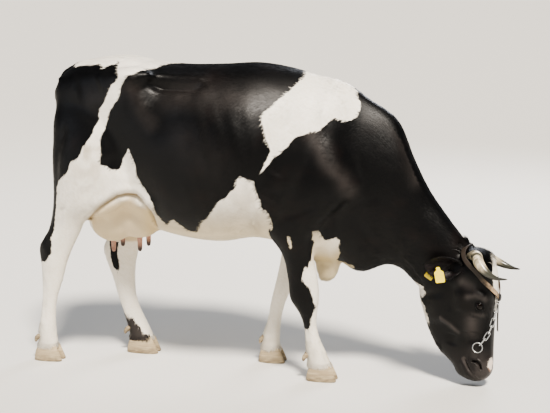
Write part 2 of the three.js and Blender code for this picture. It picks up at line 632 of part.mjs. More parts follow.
for (const { name, side, split } of LEGS) {
  const [from, to] = side === RIGHT ? [-WIDE, -LEG_INSIDE] : [LEG_INSIDE, WIDE];
  [piece, flesh] = parted(flesh, LEG_OUTLINES[name], from, to);
  const [lower, upper] = parted(largest(piece), [[-1500, -50], [1500, -50], [1500, split], [-1500, split]]);
  add(`${name}_upper`, upper, COAT);
  add(`${name}_lower`, lower, WHITE_COAT);
}
add("trunk", flesh, COAT);

// ---- udder, teats and tail ----
const udder = udderSolid(0);
add("udder", udder, UDDER_SKIN);
const grownUdder = udderSolid(GAP);
for (const { end, teat: { x, y, tip } } of UDDER_QUARTERS) {
  const stops = TEAT.stops.map(([rise, share]) => [x, y, tip + rise, TEAT.radius * share]);
  for (const [sideName, side] of [["right", RIGHT], ["left", LEFT]]) {
    const teat = solid(taper(stops, { side, sides: 7, steps: 5 }));
    add(`teat_${end}_${sideName}`, teat.subtract(grownUdder), UDDER_SKIN);
  }
}
const [tailSwitch, dock] = parted(tailLoft(0), [[-1300, 100], [-900, 100], [-900, 640], [-1300, 640]]);
add("tail_dock", dock, COAT);
add("tail_switch", tailSwitch, WHITE_COAT);

// ---- hooves ----
for (const { name, table, side } of LEGS) {
  const coronet = table.at(-1);
  const fetlock = table.find(([row]) => row === "fetlock");
  const grownLeg = legLoft({ table, side }, GAP);
  for (const [claws, offset] of [["outer", 1], ["inner", -1]]) {
    add(`claw_${name}_${claws}`, solid(claw(coronet, side, offset)), CLAW_FINISH);
    const at = [fetlock[3] + DEWCLAW.sunk, (fetlock[5] + offset * DEWCLAW.spread) * side, DEWCLAW.above];
    const dewclaw = solid(ellipsoid(at, DEWCLAW.radii, 6, 4));
    add(`dewclaw_${name}_${claws}`, dewclaw.subtract(grownLeg), CLAW_FINISH);
  }
}

// ---- horns ----
const grownHead = headLoft(GAP);
const grownNeck = neckLoft(GAP);
for (const [name, side] of [["right", RIGHT], ["left", LEFT]]) {
  const horn = (grow) => solid(withHead(taper(HORN[name], { side, sides: HORN.sides, grow })));
  add(`horn_${name}`, horn(0).subtract(grownHead), HORN_FINISH);
}

// ---- ear tag: a plate in the hollow of the right ear on a pin, and a plate behind the ear ----
const { along: earAlong, hollow, width: earDown } = earFrame(RIGHT);
const up = new THREE.Vector3(0, 0, 1);
const tagPlace = (lift) => earPlace(RIGHT, TAG.along, lift).addScaledVector(earDown, TAG.down);
const pin = (radius) => {
  const length = TAG.front + TAG.back + 2 * TAG.pinEnd;
  const rod = new THREE.CylinderGeometry(radius, radius, length, 8).rotateX(Math.PI / 2);
  return solid(withHead(placed(rod, tagPlace((TAG.front - TAG.back) / 2), hollow, up)));
};
const leaning = hollow.clone().addScaledVector(up, TAG.lean);
const frontPlate = placed(tagPlate(), tagPlace(TAG.front), leaning, up);
const turned = up.clone().addScaledVector(earAlong, TAG.turn);
const backPlate = placed(tagPlate(), tagPlace(-TAG.back), hollow, turned);
add("ear_tag_front", solid(withHead(frontPlate)).add(pin(TAG.pin)), TAG_FINISH);
add("ear_tag_back", solid(withHead(backPlate)).subtract(pin(TAG.pin + GAP)), TAG_FINISH);
for (const [name, side] of [["right", RIGHT], ["left", LEFT]]) {
  let leaf = solid(withHead(ear(side))).subtract(grownHead).subtract(grownNeck);
  if (side === RIGHT) leaf = leaf.subtract(pin(TAG.pin + GAP));
  add(`ear_${name}`, leaf, COAT);
}

// ---- strap, knob, chain and ring ----
const grownHorn = (name, side) => solid(withHead(taper(HORN[name], { side, sides: HORN.sides, grow: GAP })));
const horns = [grownHorn("right", RIGHT), grownHorn("left", LEFT)];
const knobAt = new THREE.Vector3(...KNOB.at);
const knob = (grow) => {
  const post = new THREE.CylinderGeometry(KNOB.radius + grow, KNOB.radius + grow, KNOB.height + 2 * grow, 12);
  return solid(withHead(placed(post.rotateX(Math.PI / 2), knobAt, new THREE.Vector3(1, 0, 0), up)));
};
add("strap_knob", knob(0).subtract(grownHead), DARK_LEATHER);
let strap = solid(withHead(strapBand())).subtract(grownHead).subtract(grownNeck).subtract(knob(GAP));
for (const horn of horns) strap = strap.subtract(horn);
add("horn_strap", strap, LEATHER);
const { half, thick, top, low, front } = STRAP_TAIL;
const tailStrap = new THREE.BoxGeometry(thick, 2 * half, top - low).translate(front, 0, (top + low) / 2);
add("strap_tail", solid(withHead(tailStrap)).subtract(grownHead), DARK_LEATHER);

const chain = new THREE.CatmullRomCurve3(CHAIN_PATH.map((point) => new THREE.Vector3(...point)));
const links = Math.round(chain.getLength() / LINK.pitch);
for (let i = 0; i < links; i++) {
  const share = (i + 0.5) / links;
  const along = chain.getTangentAt(share);
  const quarter = ((i % 2 ? -1 : 1) * Math.PI) / 4;
  const across = new THREE.Vector3(...LINK.seenFrom).cross(along).normalize();
  const wire = link(chain.getPointAt(share), along, across.applyAxisAngle(along, quarter));
  add(`chain_link_${i + 1}`, solid(withHead(wire)), STEEL);
}
const ring = new THREE.TorusGeometry(RING.radius, RING.wire, 5, 16);
const ringAt = new THREE.Vector3(...RING.at);
add("chain_ring", solid(withHead(placed(ring, ringAt, new THREE.Vector3(...RING.facing), up))), STEEL);

export default cow;
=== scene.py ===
"""A life-size grazing dairy cow, dressed: skin, hair, horns, hooves, eyes and what the cow wears.

Metres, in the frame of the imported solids: +X runs from tail to head, +Y is the cow's left and +Z is up.
One skin stands for all the nodes of flesh. It is lofted from the same named cross-sections as the solids,
drawn in by the depth of the coat, joined, smoothed and then modelled with hollows and ridges.
"""

from __future__ import annotations

import json
import logging
import math
from dataclasses import dataclass, field
from enum import Enum

import bpy
import bmesh
import numpy as np
from mathutils import Euler, Vector
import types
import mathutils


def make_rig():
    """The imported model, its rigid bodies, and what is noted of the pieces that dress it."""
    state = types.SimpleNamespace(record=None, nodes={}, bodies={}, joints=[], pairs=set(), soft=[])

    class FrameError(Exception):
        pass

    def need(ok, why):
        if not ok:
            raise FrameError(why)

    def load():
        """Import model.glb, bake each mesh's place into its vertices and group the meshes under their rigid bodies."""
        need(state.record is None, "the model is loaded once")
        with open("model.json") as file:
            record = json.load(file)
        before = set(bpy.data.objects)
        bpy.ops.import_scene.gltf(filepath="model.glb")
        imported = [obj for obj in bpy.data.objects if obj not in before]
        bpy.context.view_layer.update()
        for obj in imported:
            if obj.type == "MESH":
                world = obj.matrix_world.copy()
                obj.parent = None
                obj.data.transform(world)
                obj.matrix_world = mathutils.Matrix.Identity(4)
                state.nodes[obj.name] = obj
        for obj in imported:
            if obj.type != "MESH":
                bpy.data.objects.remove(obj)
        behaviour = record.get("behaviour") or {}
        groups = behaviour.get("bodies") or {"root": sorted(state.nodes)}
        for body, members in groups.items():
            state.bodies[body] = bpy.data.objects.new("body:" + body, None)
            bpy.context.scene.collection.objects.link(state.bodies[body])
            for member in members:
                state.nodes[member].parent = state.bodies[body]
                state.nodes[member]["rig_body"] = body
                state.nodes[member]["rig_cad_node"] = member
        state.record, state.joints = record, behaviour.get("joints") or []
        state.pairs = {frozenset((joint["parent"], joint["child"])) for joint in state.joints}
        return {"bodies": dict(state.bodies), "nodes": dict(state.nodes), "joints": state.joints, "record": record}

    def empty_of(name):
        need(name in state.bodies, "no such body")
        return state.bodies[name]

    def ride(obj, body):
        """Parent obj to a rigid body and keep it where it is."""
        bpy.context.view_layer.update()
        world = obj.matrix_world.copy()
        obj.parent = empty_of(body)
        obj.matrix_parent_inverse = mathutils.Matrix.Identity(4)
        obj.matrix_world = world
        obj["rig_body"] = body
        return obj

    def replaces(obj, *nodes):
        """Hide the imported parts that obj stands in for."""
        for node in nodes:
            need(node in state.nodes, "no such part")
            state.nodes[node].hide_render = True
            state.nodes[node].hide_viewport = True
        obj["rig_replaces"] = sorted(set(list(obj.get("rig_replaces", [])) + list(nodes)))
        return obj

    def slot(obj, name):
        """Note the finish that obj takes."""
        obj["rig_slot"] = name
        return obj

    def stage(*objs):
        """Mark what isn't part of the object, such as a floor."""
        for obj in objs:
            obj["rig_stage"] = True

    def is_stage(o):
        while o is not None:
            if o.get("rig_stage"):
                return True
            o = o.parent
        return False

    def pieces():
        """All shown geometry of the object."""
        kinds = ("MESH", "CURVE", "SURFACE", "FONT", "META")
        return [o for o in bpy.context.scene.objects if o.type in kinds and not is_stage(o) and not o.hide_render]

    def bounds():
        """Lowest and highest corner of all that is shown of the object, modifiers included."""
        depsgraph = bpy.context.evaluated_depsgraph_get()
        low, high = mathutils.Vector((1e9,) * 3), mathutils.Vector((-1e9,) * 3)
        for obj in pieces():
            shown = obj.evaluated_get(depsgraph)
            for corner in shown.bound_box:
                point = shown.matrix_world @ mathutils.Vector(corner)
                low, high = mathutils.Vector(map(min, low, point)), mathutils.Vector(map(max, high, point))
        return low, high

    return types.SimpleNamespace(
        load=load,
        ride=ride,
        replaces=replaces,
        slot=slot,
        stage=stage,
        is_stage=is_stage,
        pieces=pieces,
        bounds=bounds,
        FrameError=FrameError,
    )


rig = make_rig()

Array = np.ndarray
Socket = bpy.types.NodeSocket
Fill = float | tuple | str | Socket

log = logging.getLogger("cow")

SkinMap = tuple[Array, Array, Array, Array]  # points, normals, triangles' corners, places on the unwrap

MM = 0.001
BODY_SHIFT = 24 * MM  # the cow's own middle lies this far along X in the part's frame
HEAD_TURN = math.radians(-10)  # the head is turned to the cow's right about an upright line
HEAD_PIVOT = 860 * MM  # x of that line, before the shift
COAT_DEPTH = 3.5 * MM  # how far the skin lies inside the solids
PATCH = 0.003  # size of each tuft's patch on the unwrap
SIZE_FILE = "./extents.json"
LEG_NAMES = ("foreleg_right", "foreleg_left", "hind_leg_right", "hind_leg_left")


class Side(Enum):
    """A side of the cow, as the sign of Y."""

    RIGHT = -1
    LEFT = 1


# ---- cross-sections, in millimetres before the shift ----
# Each row: upper (or front) point x, z, lower (or rear) point x, z, sideways middle, half-width,
# how far up it is widest, and how full its upper and lower halves are (2 is an ellipse).
TRUNK = [
    [-1035, 1300, -1035, 1160, 0, 70, 0.5, 2, 2],  # tail head
    [-1020, 1372, -1020, 1050, 0, 155, 0.8, 2.4, 2],  # pin bones
    [-965, 1447, -965, 930, 0, 195, 0.76, 2.2, 2],  # rump end
    [-870, 1477, -870, 800, 0, 225, 0.78, 2.3, 2.1],  # rump
    [-715, 1492, -715, 700, 0, 255, 0.8, 2.6, 2.2],  # sacrum
    [-600, 1470, -600, 668, 0, 280, 0.66, 2.9, 2.2],  # hooks
    [-430, 1456, -430, 634, 0, 322, 0.47, 2.5, 2.2],  # flank
    [-240, 1460, -240, 622, 0, 355, 0.44, 2.15, 2.2],  # last ribs
    [-60, 1468, -60, 648, 0, 345, 0.43, 1.95, 2.2],  # barrel
    [80, 1448, 80, 615, 0, 300, 0.46, 1.8, 2.1],  # girth
    [200, 1416, 200, 548, 0, 245, 0.5, 1.7, 2],  # withers
    [320, 1385, 320, 545, 0, 195, 0.5, 1.8, 2],  # shoulders
    [420, 1300, 420, 600, 0, 120, 0.5, 2, 2],  # chest front
]
NECK = [
    [160, 1380, 200, 640, 0, 140, 0.45, 1.8, 2],  # inside chest
    [300, 1395, 300, 560, 0, 165, 0.45, 1.7, 2],  # base
    [440, 1315, 412, 500, 0, 150, 0.45, 1.7, 1.8],  # chest
    [575, 1215, 530, 540, 0, 122, 0.48, 1.8, 1.9],  # crest
    [655, 1035, 600, 525, 0, 108, 0.5, 1.9, 2],  # middle
    [730, 893, 650, 480, 0, 98, 0.52, 1.9, 2.1],  # throat
    [815, 775, 690, 440, 0, 94, 0.54, 2, 2.2],  # behind jaw
    [905, 660, 745, 400, 0, 88, 0.55, 2, 2.2],  # nape
    [955, 595, 820, 400, 0, 68, 0.55, 2, 2.2],  # under poll
]
BRISKET = [
    [330, 640, 190, 640, 0, 60, 0.5, 2, 2],  # top
    [322, 560, 190, 545, 0, 56, 0.5, 2, 2],  # fold
    [308, 500, 203, 488, 0, 44, 0.5, 2, 2],  # hang
    [285, 462, 222, 452, 0, 28, 0.5, 2, 2],  # low
    [262, 447, 240, 445, 0, 10, 0.5, 2, 2],  # edge
]
HEAD = [
    [982, 622, 925, 628, 0, 46, 0.5, 2, 2],  # crest
    [1008, 603, 860, 622, 0, 82, 0.6, 2.4, 2],  # poll
    [1034, 562, 775, 585, 0, 98, 0.66, 2.6, 2.2],  # brow
    [1045, 482, 688, 505, 0, 106, 0.7, 2.7, 2.1],  # forehead
    [1046, 402, 677, 412, 0, 108, 0.76, 2.8, 1.9],  # eyes
    [1040, 318, 704, 309, 0, 86, 0.66, 2.6, 2],  # cheek
    [1038, 240, 735, 225, 0, 71, 0.62, 2.6, 2.2],  # nose bridge
    [1038, 165, 784, 150, 0, 64, 0.58, 2.6, 2.4],  # mouth corner
    [1037, 104, 846, 95, 0, 69, 0.56, 2.7, 2.6],  # muzzle
    [1029, 56, 876, 48, 0, 65, 0.56, 2.5, 2.5],  # lips
    [1000, 27, 928, 24, 0, 40, 0.5, 2, 2],  # mouth
]
FORELEG_RIGHT = [
    [285, 1230, 180, 1245, 128, 32, 0.5, 2, 2],  # shoulder top
    [355, 1070, 95, 1110, 150, 78, 0.5, 2, 2],  # shoulder blade
    [395, 915, 20, 950, 175, 86, 0.5, 2, 2],  # shoulder point
    [315, 800, -25, 800, 172, 86, 0.5, 2, 2],  # elbow
    [232, 700, -5, 710, 165, 75, 0.5, 2, 2],  # armpit
    [218, 620, 58, 620, 150, 62, 0.5, 2, 2],  # forearm
    [238, 480, 92, 480, 135, 49, 0.5, 2.1, 2.1],  # forearm low
    [242, 392, 104, 380, 125, 49, 0.5, 2.3, 2.3],  # knee
    [233, 333, 140, 325, 122, 41, 0.5, 2.2, 2.2],  # under knee
    [230, 260, 163, 260, 118, 32, 0.5, 2.1, 2.1],  # cannon
    [246, 195, 170, 195, 115, 35, 0.5, 2.1, 2.1],  # above fetlock
    [268, 145, 173, 140, 113, 43, 0.5, 2.1, 2.1],  # fetlock
    [290, 95, 180, 82, 112, 44, 0.5, 2.1, 2.1],  # pastern
    [300, 72, 186, 56, 111, 47, 0.5, 2.2, 2.2],  # coronet
]
FORELEG_LEFT = [
    [235, 1230, 130, 1245, 128, 32, 0.5, 2, 2],  # shoulder top
    [305, 1070, 45, 1110, 150, 78, 0.5, 2, 2],  # shoulder blade
    [330, 915, -40, 950, 175, 86, 0.5, 2, 2],  # shoulder point
    [255, 800, -70, 800, 172, 86, 0.5, 2, 2],  # elbow
    [172, 700, -50, 710, 165, 75, 0.5, 2, 2],  # armpit
    [145, 620, -5, 620, 152, 62, 0.5, 2, 2],  # forearm
    [108, 480, -13, 480, 138, 49, 0.5, 2.1, 2.1],  # forearm low
    [66, 385, -34, 375, 128, 49, 0.5, 2.3, 2.3],  # knee
    [32, 315, -50, 308, 124, 41, 0.5, 2.2, 2.2],  # under knee
    [11, 240, -62, 240, 120, 32, 0.5, 2.1, 2.1],  # cannon
    [3, 178, -77, 175, 117, 36, 0.5, 2.1, 2.1],  # above fetlock
    [1, 138, -92, 130, 115, 43, 0.5, 2.1, 2.1],  # fetlock
    [0, 95, -96, 84, 113, 44, 0.5, 2.1, 2.1],  # pastern
    [4, 72, -100, 56, 112, 47, 0.5, 2.2, 2.2],  # coronet
]
HIND_LEG_RIGHT = [
    [-640, 1300, -950, 1360, 130, 60, 0.5, 2, 2],  # hip
    [-600, 1150, -1030, 1240, 155, 92, 0.5, 2, 2],  # thigh top
    [-600, 1000, -1036, 1080, 172, 108, 0.5, 2, 2],  # thigh
    [-625, 860, -1037, 960, 178, 104, 0.5, 2, 2],  # stifle
    [-735, 765, -1038, 850, 173, 84, 0.5, 2, 2],  # below stifle
    [-880, 716, -1055, 745, 160, 62, 0.5, 2, 2],  # gaskin
    [-922, 645, -1082, 665, 150, 50, 0.5, 2, 2],  # gaskin low
    [-968, 562, -1140, 567, 140, 42, 0.5, 2.2, 1.9],  # hock point
    [-998, 497, -1137, 500, 132, 42, 0.5, 2.2, 2],  # hock
    [-1025, 410, -1135, 410, 127, 36, 0.5, 2.1, 2.1],  # under hock
    [-1060, 310, -1142, 310, 122, 32, 0.5, 2.1, 2.1],  # cannon
    [-1073, 222, -1155, 212, 118, 34, 0.5, 2.1, 2.1],  # above fetlock
    [-1073, 155, -1170, 142, 116, 42, 0.5, 2.1, 2.1],  # fetlock
    [-1070, 108, -1170, 86, 114, 42, 0.5, 2.1, 2.1],  # pastern
    [-1066, 74, -1180, 56, 113, 46, 0.5, 2.2, 2.2],  # coronet
]
HIND_LEG_LEFT = [
    [-600, 1300, -950, 1360, 130, 60, 0.5, 2, 2],  # hip
    [-545, 1150, -1030, 1240, 155, 92, 0.5, 2, 2],  # thigh top
    [-520, 1000, -1032, 1080, 172, 108, 0.5, 2, 2],  # thigh
    [-505, 860, -1000, 960, 178, 104, 0.5, 2, 2],  # stifle
    [-540, 760, -940, 825, 173, 84, 0.5, 2, 2],  # below stifle
    [-650, 655, -900, 685, 160, 62, 0.5, 2, 2],  # gaskin
    [-710, 575, -892, 605, 150, 50, 0.5, 2, 2],  # gaskin low
    [-735, 500, -922, 512, 140, 42, 0.5, 2.2, 1.9],  # hock point
    [-745, 435, -902, 450, 135, 42, 0.5, 2.2, 2],  # hock
    [-747, 365, -873, 376, 130, 36, 0.5, 2.1, 2.1],  # under hock
    [-738, 275, -843, 280, 125, 32, 0.5, 2.1, 2.1],  # cannon
    [-708, 200, -812, 195, 120, 35, 0.5, 2.1, 2.1],  # above fetlock
    [-680, 142, -792, 135, 118, 42, 0.5, 2.1, 2.1],  # fetlock
    [-660, 102, -782, 86, 116, 42, 0.5, 2.1, 2.1],  # pastern
    [-648, 74, -782, 56, 115, 46, 0.5, 2.2, 2.2],  # coronet
]
TAIL_DOCK = [
    [-965, 1405, -965, 1462, 0, 26, 0.5, 2, 2],  # root
    [-1022, 1378, -1046, 1408, 0, 32, 0.5, 2, 2],  # dock
    [-1030, 1285, -1078, 1295, 0, 30, 0.5, 2, 2],  # bend
    [-1022, 1100, -1064, 1100, 2, 23, 0.5, 2, 2],  # upper
    [-1024, 850, -1058, 850, 8, 17, 0.5, 2, 2],  # middle
    [-1056, 650, -1086, 650, 14, 16, 0.5, 2, 2],  # end of dock
    [-1068, 600, -1090, 600, 14, 11, 0.5, 2, 2],  # hidden in the switch
]
# Ellipsoids joined to the lofts: x, sideways, z, then radii along X, Y and Z.
UDDER_REAR = (-785, 64, 728, 126, 98, 130)
UDDER_FORE = (-655, 62, 742, 132, 92, 122)
HOOK_BONE = (-622, 196, 1392, 120, 74, 62)
PIN_BONE = (-978, 112, 1312, 82, 54, 62)
BROW = (962, 84, 428, 44, 30, 26)


# ---- plain mathematics on arrays ----
def smooth_step(value: Array, low: float, high: float) -> Array:
    """Cubic ramp 3t^2 - 2t^3, where t runs from 0 at low to 1 at high.

    Args:
        value: The numbers to ramp.
        low: Where the ramp is 0.
        high: Where the ramp is 1, which may be below low.

    Returns:
        The ramp, from 0 to 1.
    """
    t = np.clip((value - low) / (high - low), 0, 1)
    return t * t * (3 - 2 * t)


def unit(vectors: Array) -> Array:
    """Rows scaled to length 1."""
    return vectors / np.maximum(np.linalg.norm(vectors, axis=-1, keepdims=True), 1e-12)


def turned(points: Array, angle: float) -> Array:
    """Rows turned about the Z axis: x' = x cos - y sin, y' = x sin + y cos."""
    (x, y, z), c, s = np.moveaxis(points, -1, 0), math.cos(angle), math.sin(angle)
    return np.stack([x * c - y * s, x * s + y * c, z], -1)


def square_to(ways: Array, axis: Array) -> Array:
    """Ways made square to an axis and scaled to length 1: way - axis (way . axis)."""
    return unit(ways - axis * np.sum(ways * axis, axis=-1, keepdims=True))


def rounded(wave: Array, power: float | Array) -> Array:
    """A sine or cosine with its sign kept and its size raised to a power, which rounds a square's corners."""
    return np.sign(wave) * np.abs(wave) ** power


def round_angles(count: int) -> Array:
    """Even angles round a circle, from 0."""
    return np.linspace(0, 2 * math.pi, count, endpoint=False)


def from_head(points: Array) -> Array:
    """Points of the unturned head, in metres, put in the part's frame."""
    pivot = np.array([HEAD_PIVOT, 0, 0])
    return turned(points - pivot, HEAD_TURN) + pivot + [BODY_SHIFT, 0, 0]


def to_head(points: Array) -> Array:
    """Points of the part's frame put in the frame of the unturned head."""
    pivot = np.array([HEAD_PIVOT, 0, 0])
    return turned(points - pivot - [BODY_SHIFT, 0, 0], -HEAD_TURN) + pivot


def value_noise(points: Array, size: float, seed: int = 0) -> Array:
    """Smooth noise: hashed values at the corners of cubes of side size, blended with cubic ramps.

    Args:
        points: Places, one to a row.
        size: Side of a cube in metres.
        seed: Changes the pattern.

    Returns:
        Noise from -1 to 1 for each point.
    """
    place = points / size
    cell = np.floor(place).astype(np.int64)
    share = place - cell
    share = share * share * (3 - 2 * share)
    total = np.zeros(len(points))
    for corner in range(8):
        offset = np.array([corner & 1, (corner >> 1) & 1, corner >> 2])
        key = (cell + offset) @ np.array([73856093, 19349663, 83492791]) + seed * 668265263
        mixed = (key ^ (key >> 13)) * 1274126177
        value = ((mixed ^ (mixed >> 16)) & 0xFFFFF) / 0x7FFFF - 1
        total += value * np.prod(np.where(offset == 1, share, 1 - share), axis=1)
    return total


def distance_to_path(points: Array, path: Array) -> tuple[Array, Array]:
    """Least distance from each point to a path of straight pieces, and how far along it that is.

    Args:
        points: Places in two or three dimensions.
        path: Corners of the path in the same dimensions.

    Returns:
        The distance, and the share of the path's length from 0 to 1.
    """
    best = np.full(len(points), np.inf)
    along = np.zeros(len(points))
    lengths = np.linalg.norm(np.diff(path, axis=0), axis=1)
    start = 0.0
    for a, b, length in zip(path[:-1], path[1:], lengths):
        span = b - a
        t = np.clip((points - a) @ span / max(length**2, 1e-12), 0, 1)
        distance = np.linalg.norm(points - a - t[:, None] * span, axis=1)
        closer = distance < best
        best = np.where(closer, distance, best)
        along = np.where(closer, (start + t * length) / lengths.sum(), along)
        start += length
    return best, along


def inside_outline(points: Array, outline: Array) -> Array:
    """Signed distance to a closed outline in the plane: positive inside, negative outside.

    Args:
        points: Places in the plane.
        outline: The outline's corners.

    Returns:
        One distance for each place.
    """
    closed = np.vstack([outline, outline[:1]])
    distance, _ = distance_to_path(points, closed)
    crossings = np.zeros(len(points), int)
    for (ax, az), (bx, bz) in zip(closed[:-1], closed[1:]):
        spans = (az > points[:, 1]) != (bz > points[:, 1])
        cut = ax + (points[:, 1] - az) * (bx - ax) / ((bz - az) or 1e-12)
        crossings += spans & (points[:, 0] < cut)
    return np.where(crossings % 2 == 1, distance, -distance)


def mound(x: Array, z: Array, middle: tuple[float, float], half: tuple[float, float]) -> Array:
    """A soft hill of height 1 in the side view: exp(-((x - a) / b)^2 - ((z - c) / d)^2)."""
    return np.exp(-(((x - middle[0]) / half[0]) ** 2 + ((z - middle[1]) / half[1]) ** 2))


def smooth_rows(table: list[list[float]], steps: int) -> Array:
    """Rows of a table at even steps of length, on one smooth cubic (Hermite) through every row.

    Args:
        table: Cross-sections in millimetres.
        steps: About how many steps the whole length gets.

    Returns:
        The rows in metres.
    """
    rows = np.array(table, float)
    rows[:, :6] *= MM
    middle = np.stack([(rows[:, 0] + rows[:, 2]) / 2, (rows[:, 1] + rows[:, 3]) / 2, rows[:, 4]], 1)
    spans = np.linalg.norm(np.diff(middle, axis=0), axis=1)
    slopes = np.diff(rows, axis=0) / spans[:, None]
    tangents = np.vstack([slopes[:1], slopes[:1], slopes[1:]])
    weights = (spans[:-1] / (spans[:-1] + spans[1:]))[:, None]
    tangents[1:-1] = slopes[:-1] * (1 - weights) + slopes[1:] * weights
    starts = np.concatenate([[0], np.cumsum(spans)])
    counts = np.maximum(1, np.round(steps * spans / starts[-1])).astype(int)
    place = np.concatenate([starts[i] + np.arange(n) / n * spans[i] for i, n in enumerate(counts)] + [starts[-1:]])
    i = np.clip(np.searchsorted(starts, place, side="right") - 1, 0, len(spans) - 1)
    u = ((place - starts[i]) / spans[i])[:, None]
    rise = 3 * u**2 - 2 * u**3
    lean = spans[i][:, None]
    return (
        rows[i] * (1 - rise)
        + rows[i + 1] * rise
        + (u**3 - 2 * u**2 + u) * lean * tangents[i]
        + (u**3 - u**2) * lean * tangents[i + 1]
    )


def section_rings(rows: Array, side: int, around: int, grow: float) -> Array:
    """Rings of points: each is two half superellipses that meet where the section is widest.

    Args:
        rows: Cross-sections in metres.
        side: 1 as written, or -1 mirrored to the right.
        around: Points in each ring.
        grow: Added all round, negative to draw the surface in.

    Returns:
        An array of rings by points by three.
    """
    top = np.stack([rows[:, 0], rows[:, 4] * side, rows[:, 1]], 1)
    low = np.stack([rows[:, 2], rows[:, 4] * side, rows[:, 3]], 1)
    height = np.linalg.norm(top - low, axis=1)[:, None]
    up = (top - low) / height
    middle = low + up * height * rows[:, 6:7]
    angle = (np.arange(around) + 0.5) / around * 2 * np.pi
    c, s = np.cos(angle)[None], np.sin(angle)[None]
    power = 2 / np.where(s >= 0, rows[:, 7:8], rows[:, 8:9])
    reach = height * np.where(s >= 0, 1 - rows[:, 6:7], rows[:, 6:7]) + grow
    lift = rounded(s, power) * reach
    wide = rounded(c, power) * (rows[:, 5:6] + grow)
    return middle[:, None] + lift[..., None] * up[:, None] + wide[..., None] * np.array([0, 1, 0])


# ---- meshes ----
@dataclass
class Surface:
    """A mesh in arrays: points, faces of one size, and values held at the points."""

    points: Array
    faces: Array
    values: dict[str, Array] = field(default_factory=dict)
    unwrap: Array | None = None  # one pair for each point
    normals: Array | None = None  # one for each point, where shading follows something else than the faces

    @staticmethod
    def of_grid(grid: Array, caps: bool = True) -> "Surface":
        """A skin over rings: point (i, j) joins (i + 1, j) and (i, j + 1), and each end closes to its middle.

        Args:
            grid: Rings by points by three.
            caps: Whether the two ends are closed.

        Returns:
            The surface, in faces of four corners, with a corner repeated in each end triangle.
        """
        rings, around = grid.shape[:2]
        j = np.arange(around)
        nxt = (j + 1) % around
        base = (np.arange(rings - 1) * around)[:, None]
        faces = np.stack([base + j, base + around + j, base + around + nxt, base + nxt], -1).reshape(-1, 4)
        points = grid.reshape(-1, 3)
        if caps:
            first, last, end = len(points), len(points) + 1, (rings - 1) * around
            points = np.vstack([points, grid[0].mean(0), grid[-1].mean(0)])
            start_fan = np.stack([np.full_like(j, first), j, nxt, nxt], 1)
            end_fan = np.stack([np.full_like(j, last), end + nxt, end + j, end + j], 1)
            faces = np.vstack([faces, start_fan, end_fan])
        return Surface(points, faces)

    @staticmethod
    def of_loop(rings: Array) -> "Surface":
        """A skin over rings whose last one joins the first.

        Args:
            rings: Rings by points by three.

        Returns:
            The surface, without ends.
        """
        count = rings.shape[0] * rings.shape[1]
        loop = Surface.of_grid(np.concatenate([rings, rings[:1]]), caps=False)
        return Surface(loop.points[:count], loop.faces % count)

    def outward(self) -> "Surface":
        """Turns the faces to point outwards, by the sign of the volume.

        Returns:
            The same surface.
        """
        a, b, c = (self.points[self.faces[:, k]] for k in range(3))
        d = self.points[self.faces[:, -1]]
        volume = np.einsum("ij,ij->i", a, np.cross(b, c)).sum() + np.einsum("ij,ij->i", a, np.cross(c, d)).sum()
        if volume < 0:
            self.faces = self.faces[:, ::-1]
        return self

    def made(self, name: str) -> bpy.types.Object:
        """The surface as a smooth-shaded object at the origin.

        Args:
            name: The piece's name.

        Returns:
            The new object.
        """
        mesh = bpy.data.meshes.new(name)
        keep = self.faces != np.roll(self.faces, -1, axis=1)
        sizes = keep.sum(1)
        corners = self.faces[keep].astype(np.int32)
        mesh.vertices.add(len(self.points))
        mesh.vertices.foreach_set("co", self.points.astype(np.float32).ravel())
        mesh.loops.add(len(corners))
        mesh.loops.foreach_set("vertex_index", corners)
        mesh.polygons.add(len(self.faces))
        mesh.polygons.foreach_set("loop_start", np.concatenate([[0], np.cumsum(sizes)[:-1]]).astype(np.int32))
        mesh.polygons.foreach_set("use_smooth", np.ones(len(self.faces), bool))
        mesh.update(calc_edges=True)
        hold(mesh, self.values)
        if self.unwrap is not None:
            uv = mesh.uv_layers.new(name="OFBake")
            uv.data.foreach_set("uv", self.unwrap[corners].astype(np.float32).ravel())
        if self.normals is not None:
            mesh.normals_split_custom_set_from_vertices(self.normals.astype(np.float32))
        piece = bpy.data.objects.new(name, mesh)
        bpy.context.scene.collection.objects.link(piece)
        return piece


def hold(mesh: bpy.types.Mesh, values: dict[str, Array]) -> None:
    """Keeps values at a mesh's points, where a material reads them by name."""
    for key, value in values.items():
        mesh.attributes.new(key, "FLOAT", "POINT").data.foreach_set("value", value.astype(np.float32))


def joined(surfaces: list[Surface]) -> Surface:
    """Several surfaces as one, with the values that they all hold.

    Args:
        surfaces: Surfaces with faces of one size.

    Returns:
        One surface.
    """
    starts = np.cumsum([0] + [len(s.points) for s in surfaces[:-1]])
    keys = set.intersection(*(set(s.values) for s in surfaces))
    unwraps = [s.unwrap for s in surfaces]
    return Surface(
        np.vstack([s.points for s in surfaces]),
        np.vstack([s.faces + start for s, start in zip(surfaces, starts)]),
        {key: np.concatenate([s.values[key] for s in surfaces]) for key in keys},
        None if any(u is None for u in unwraps) else np.vstack(unwraps),
    )


def ball(centre: Array, radii: Array, around: int = 24, rings: int = 14) -> Surface:
    """An ellipsoid: x = a sin u cos v, y = b sin u sin v, z = c cos u about its centre.

    Args:
        centre: Its centre.
        radii: Its radii a, b and c.
        around: Points round each ring.
        rings: How many rings it has from pole to pole.

    Returns:
        The ellipsoid.
    """
    u = np.linspace(0.02, math.pi - 0.02, rings)[:, None]
    v = np.linspace(0, 2 * math.pi, around, endpoint=False)[None]
    grid = np.stack([np.sin(u) * np.cos(v), np.sin(u) * np.sin(v), np.cos(u) * np.ones_like(v)], -1)
    return Surface.of_grid(grid * radii + centre).outward()


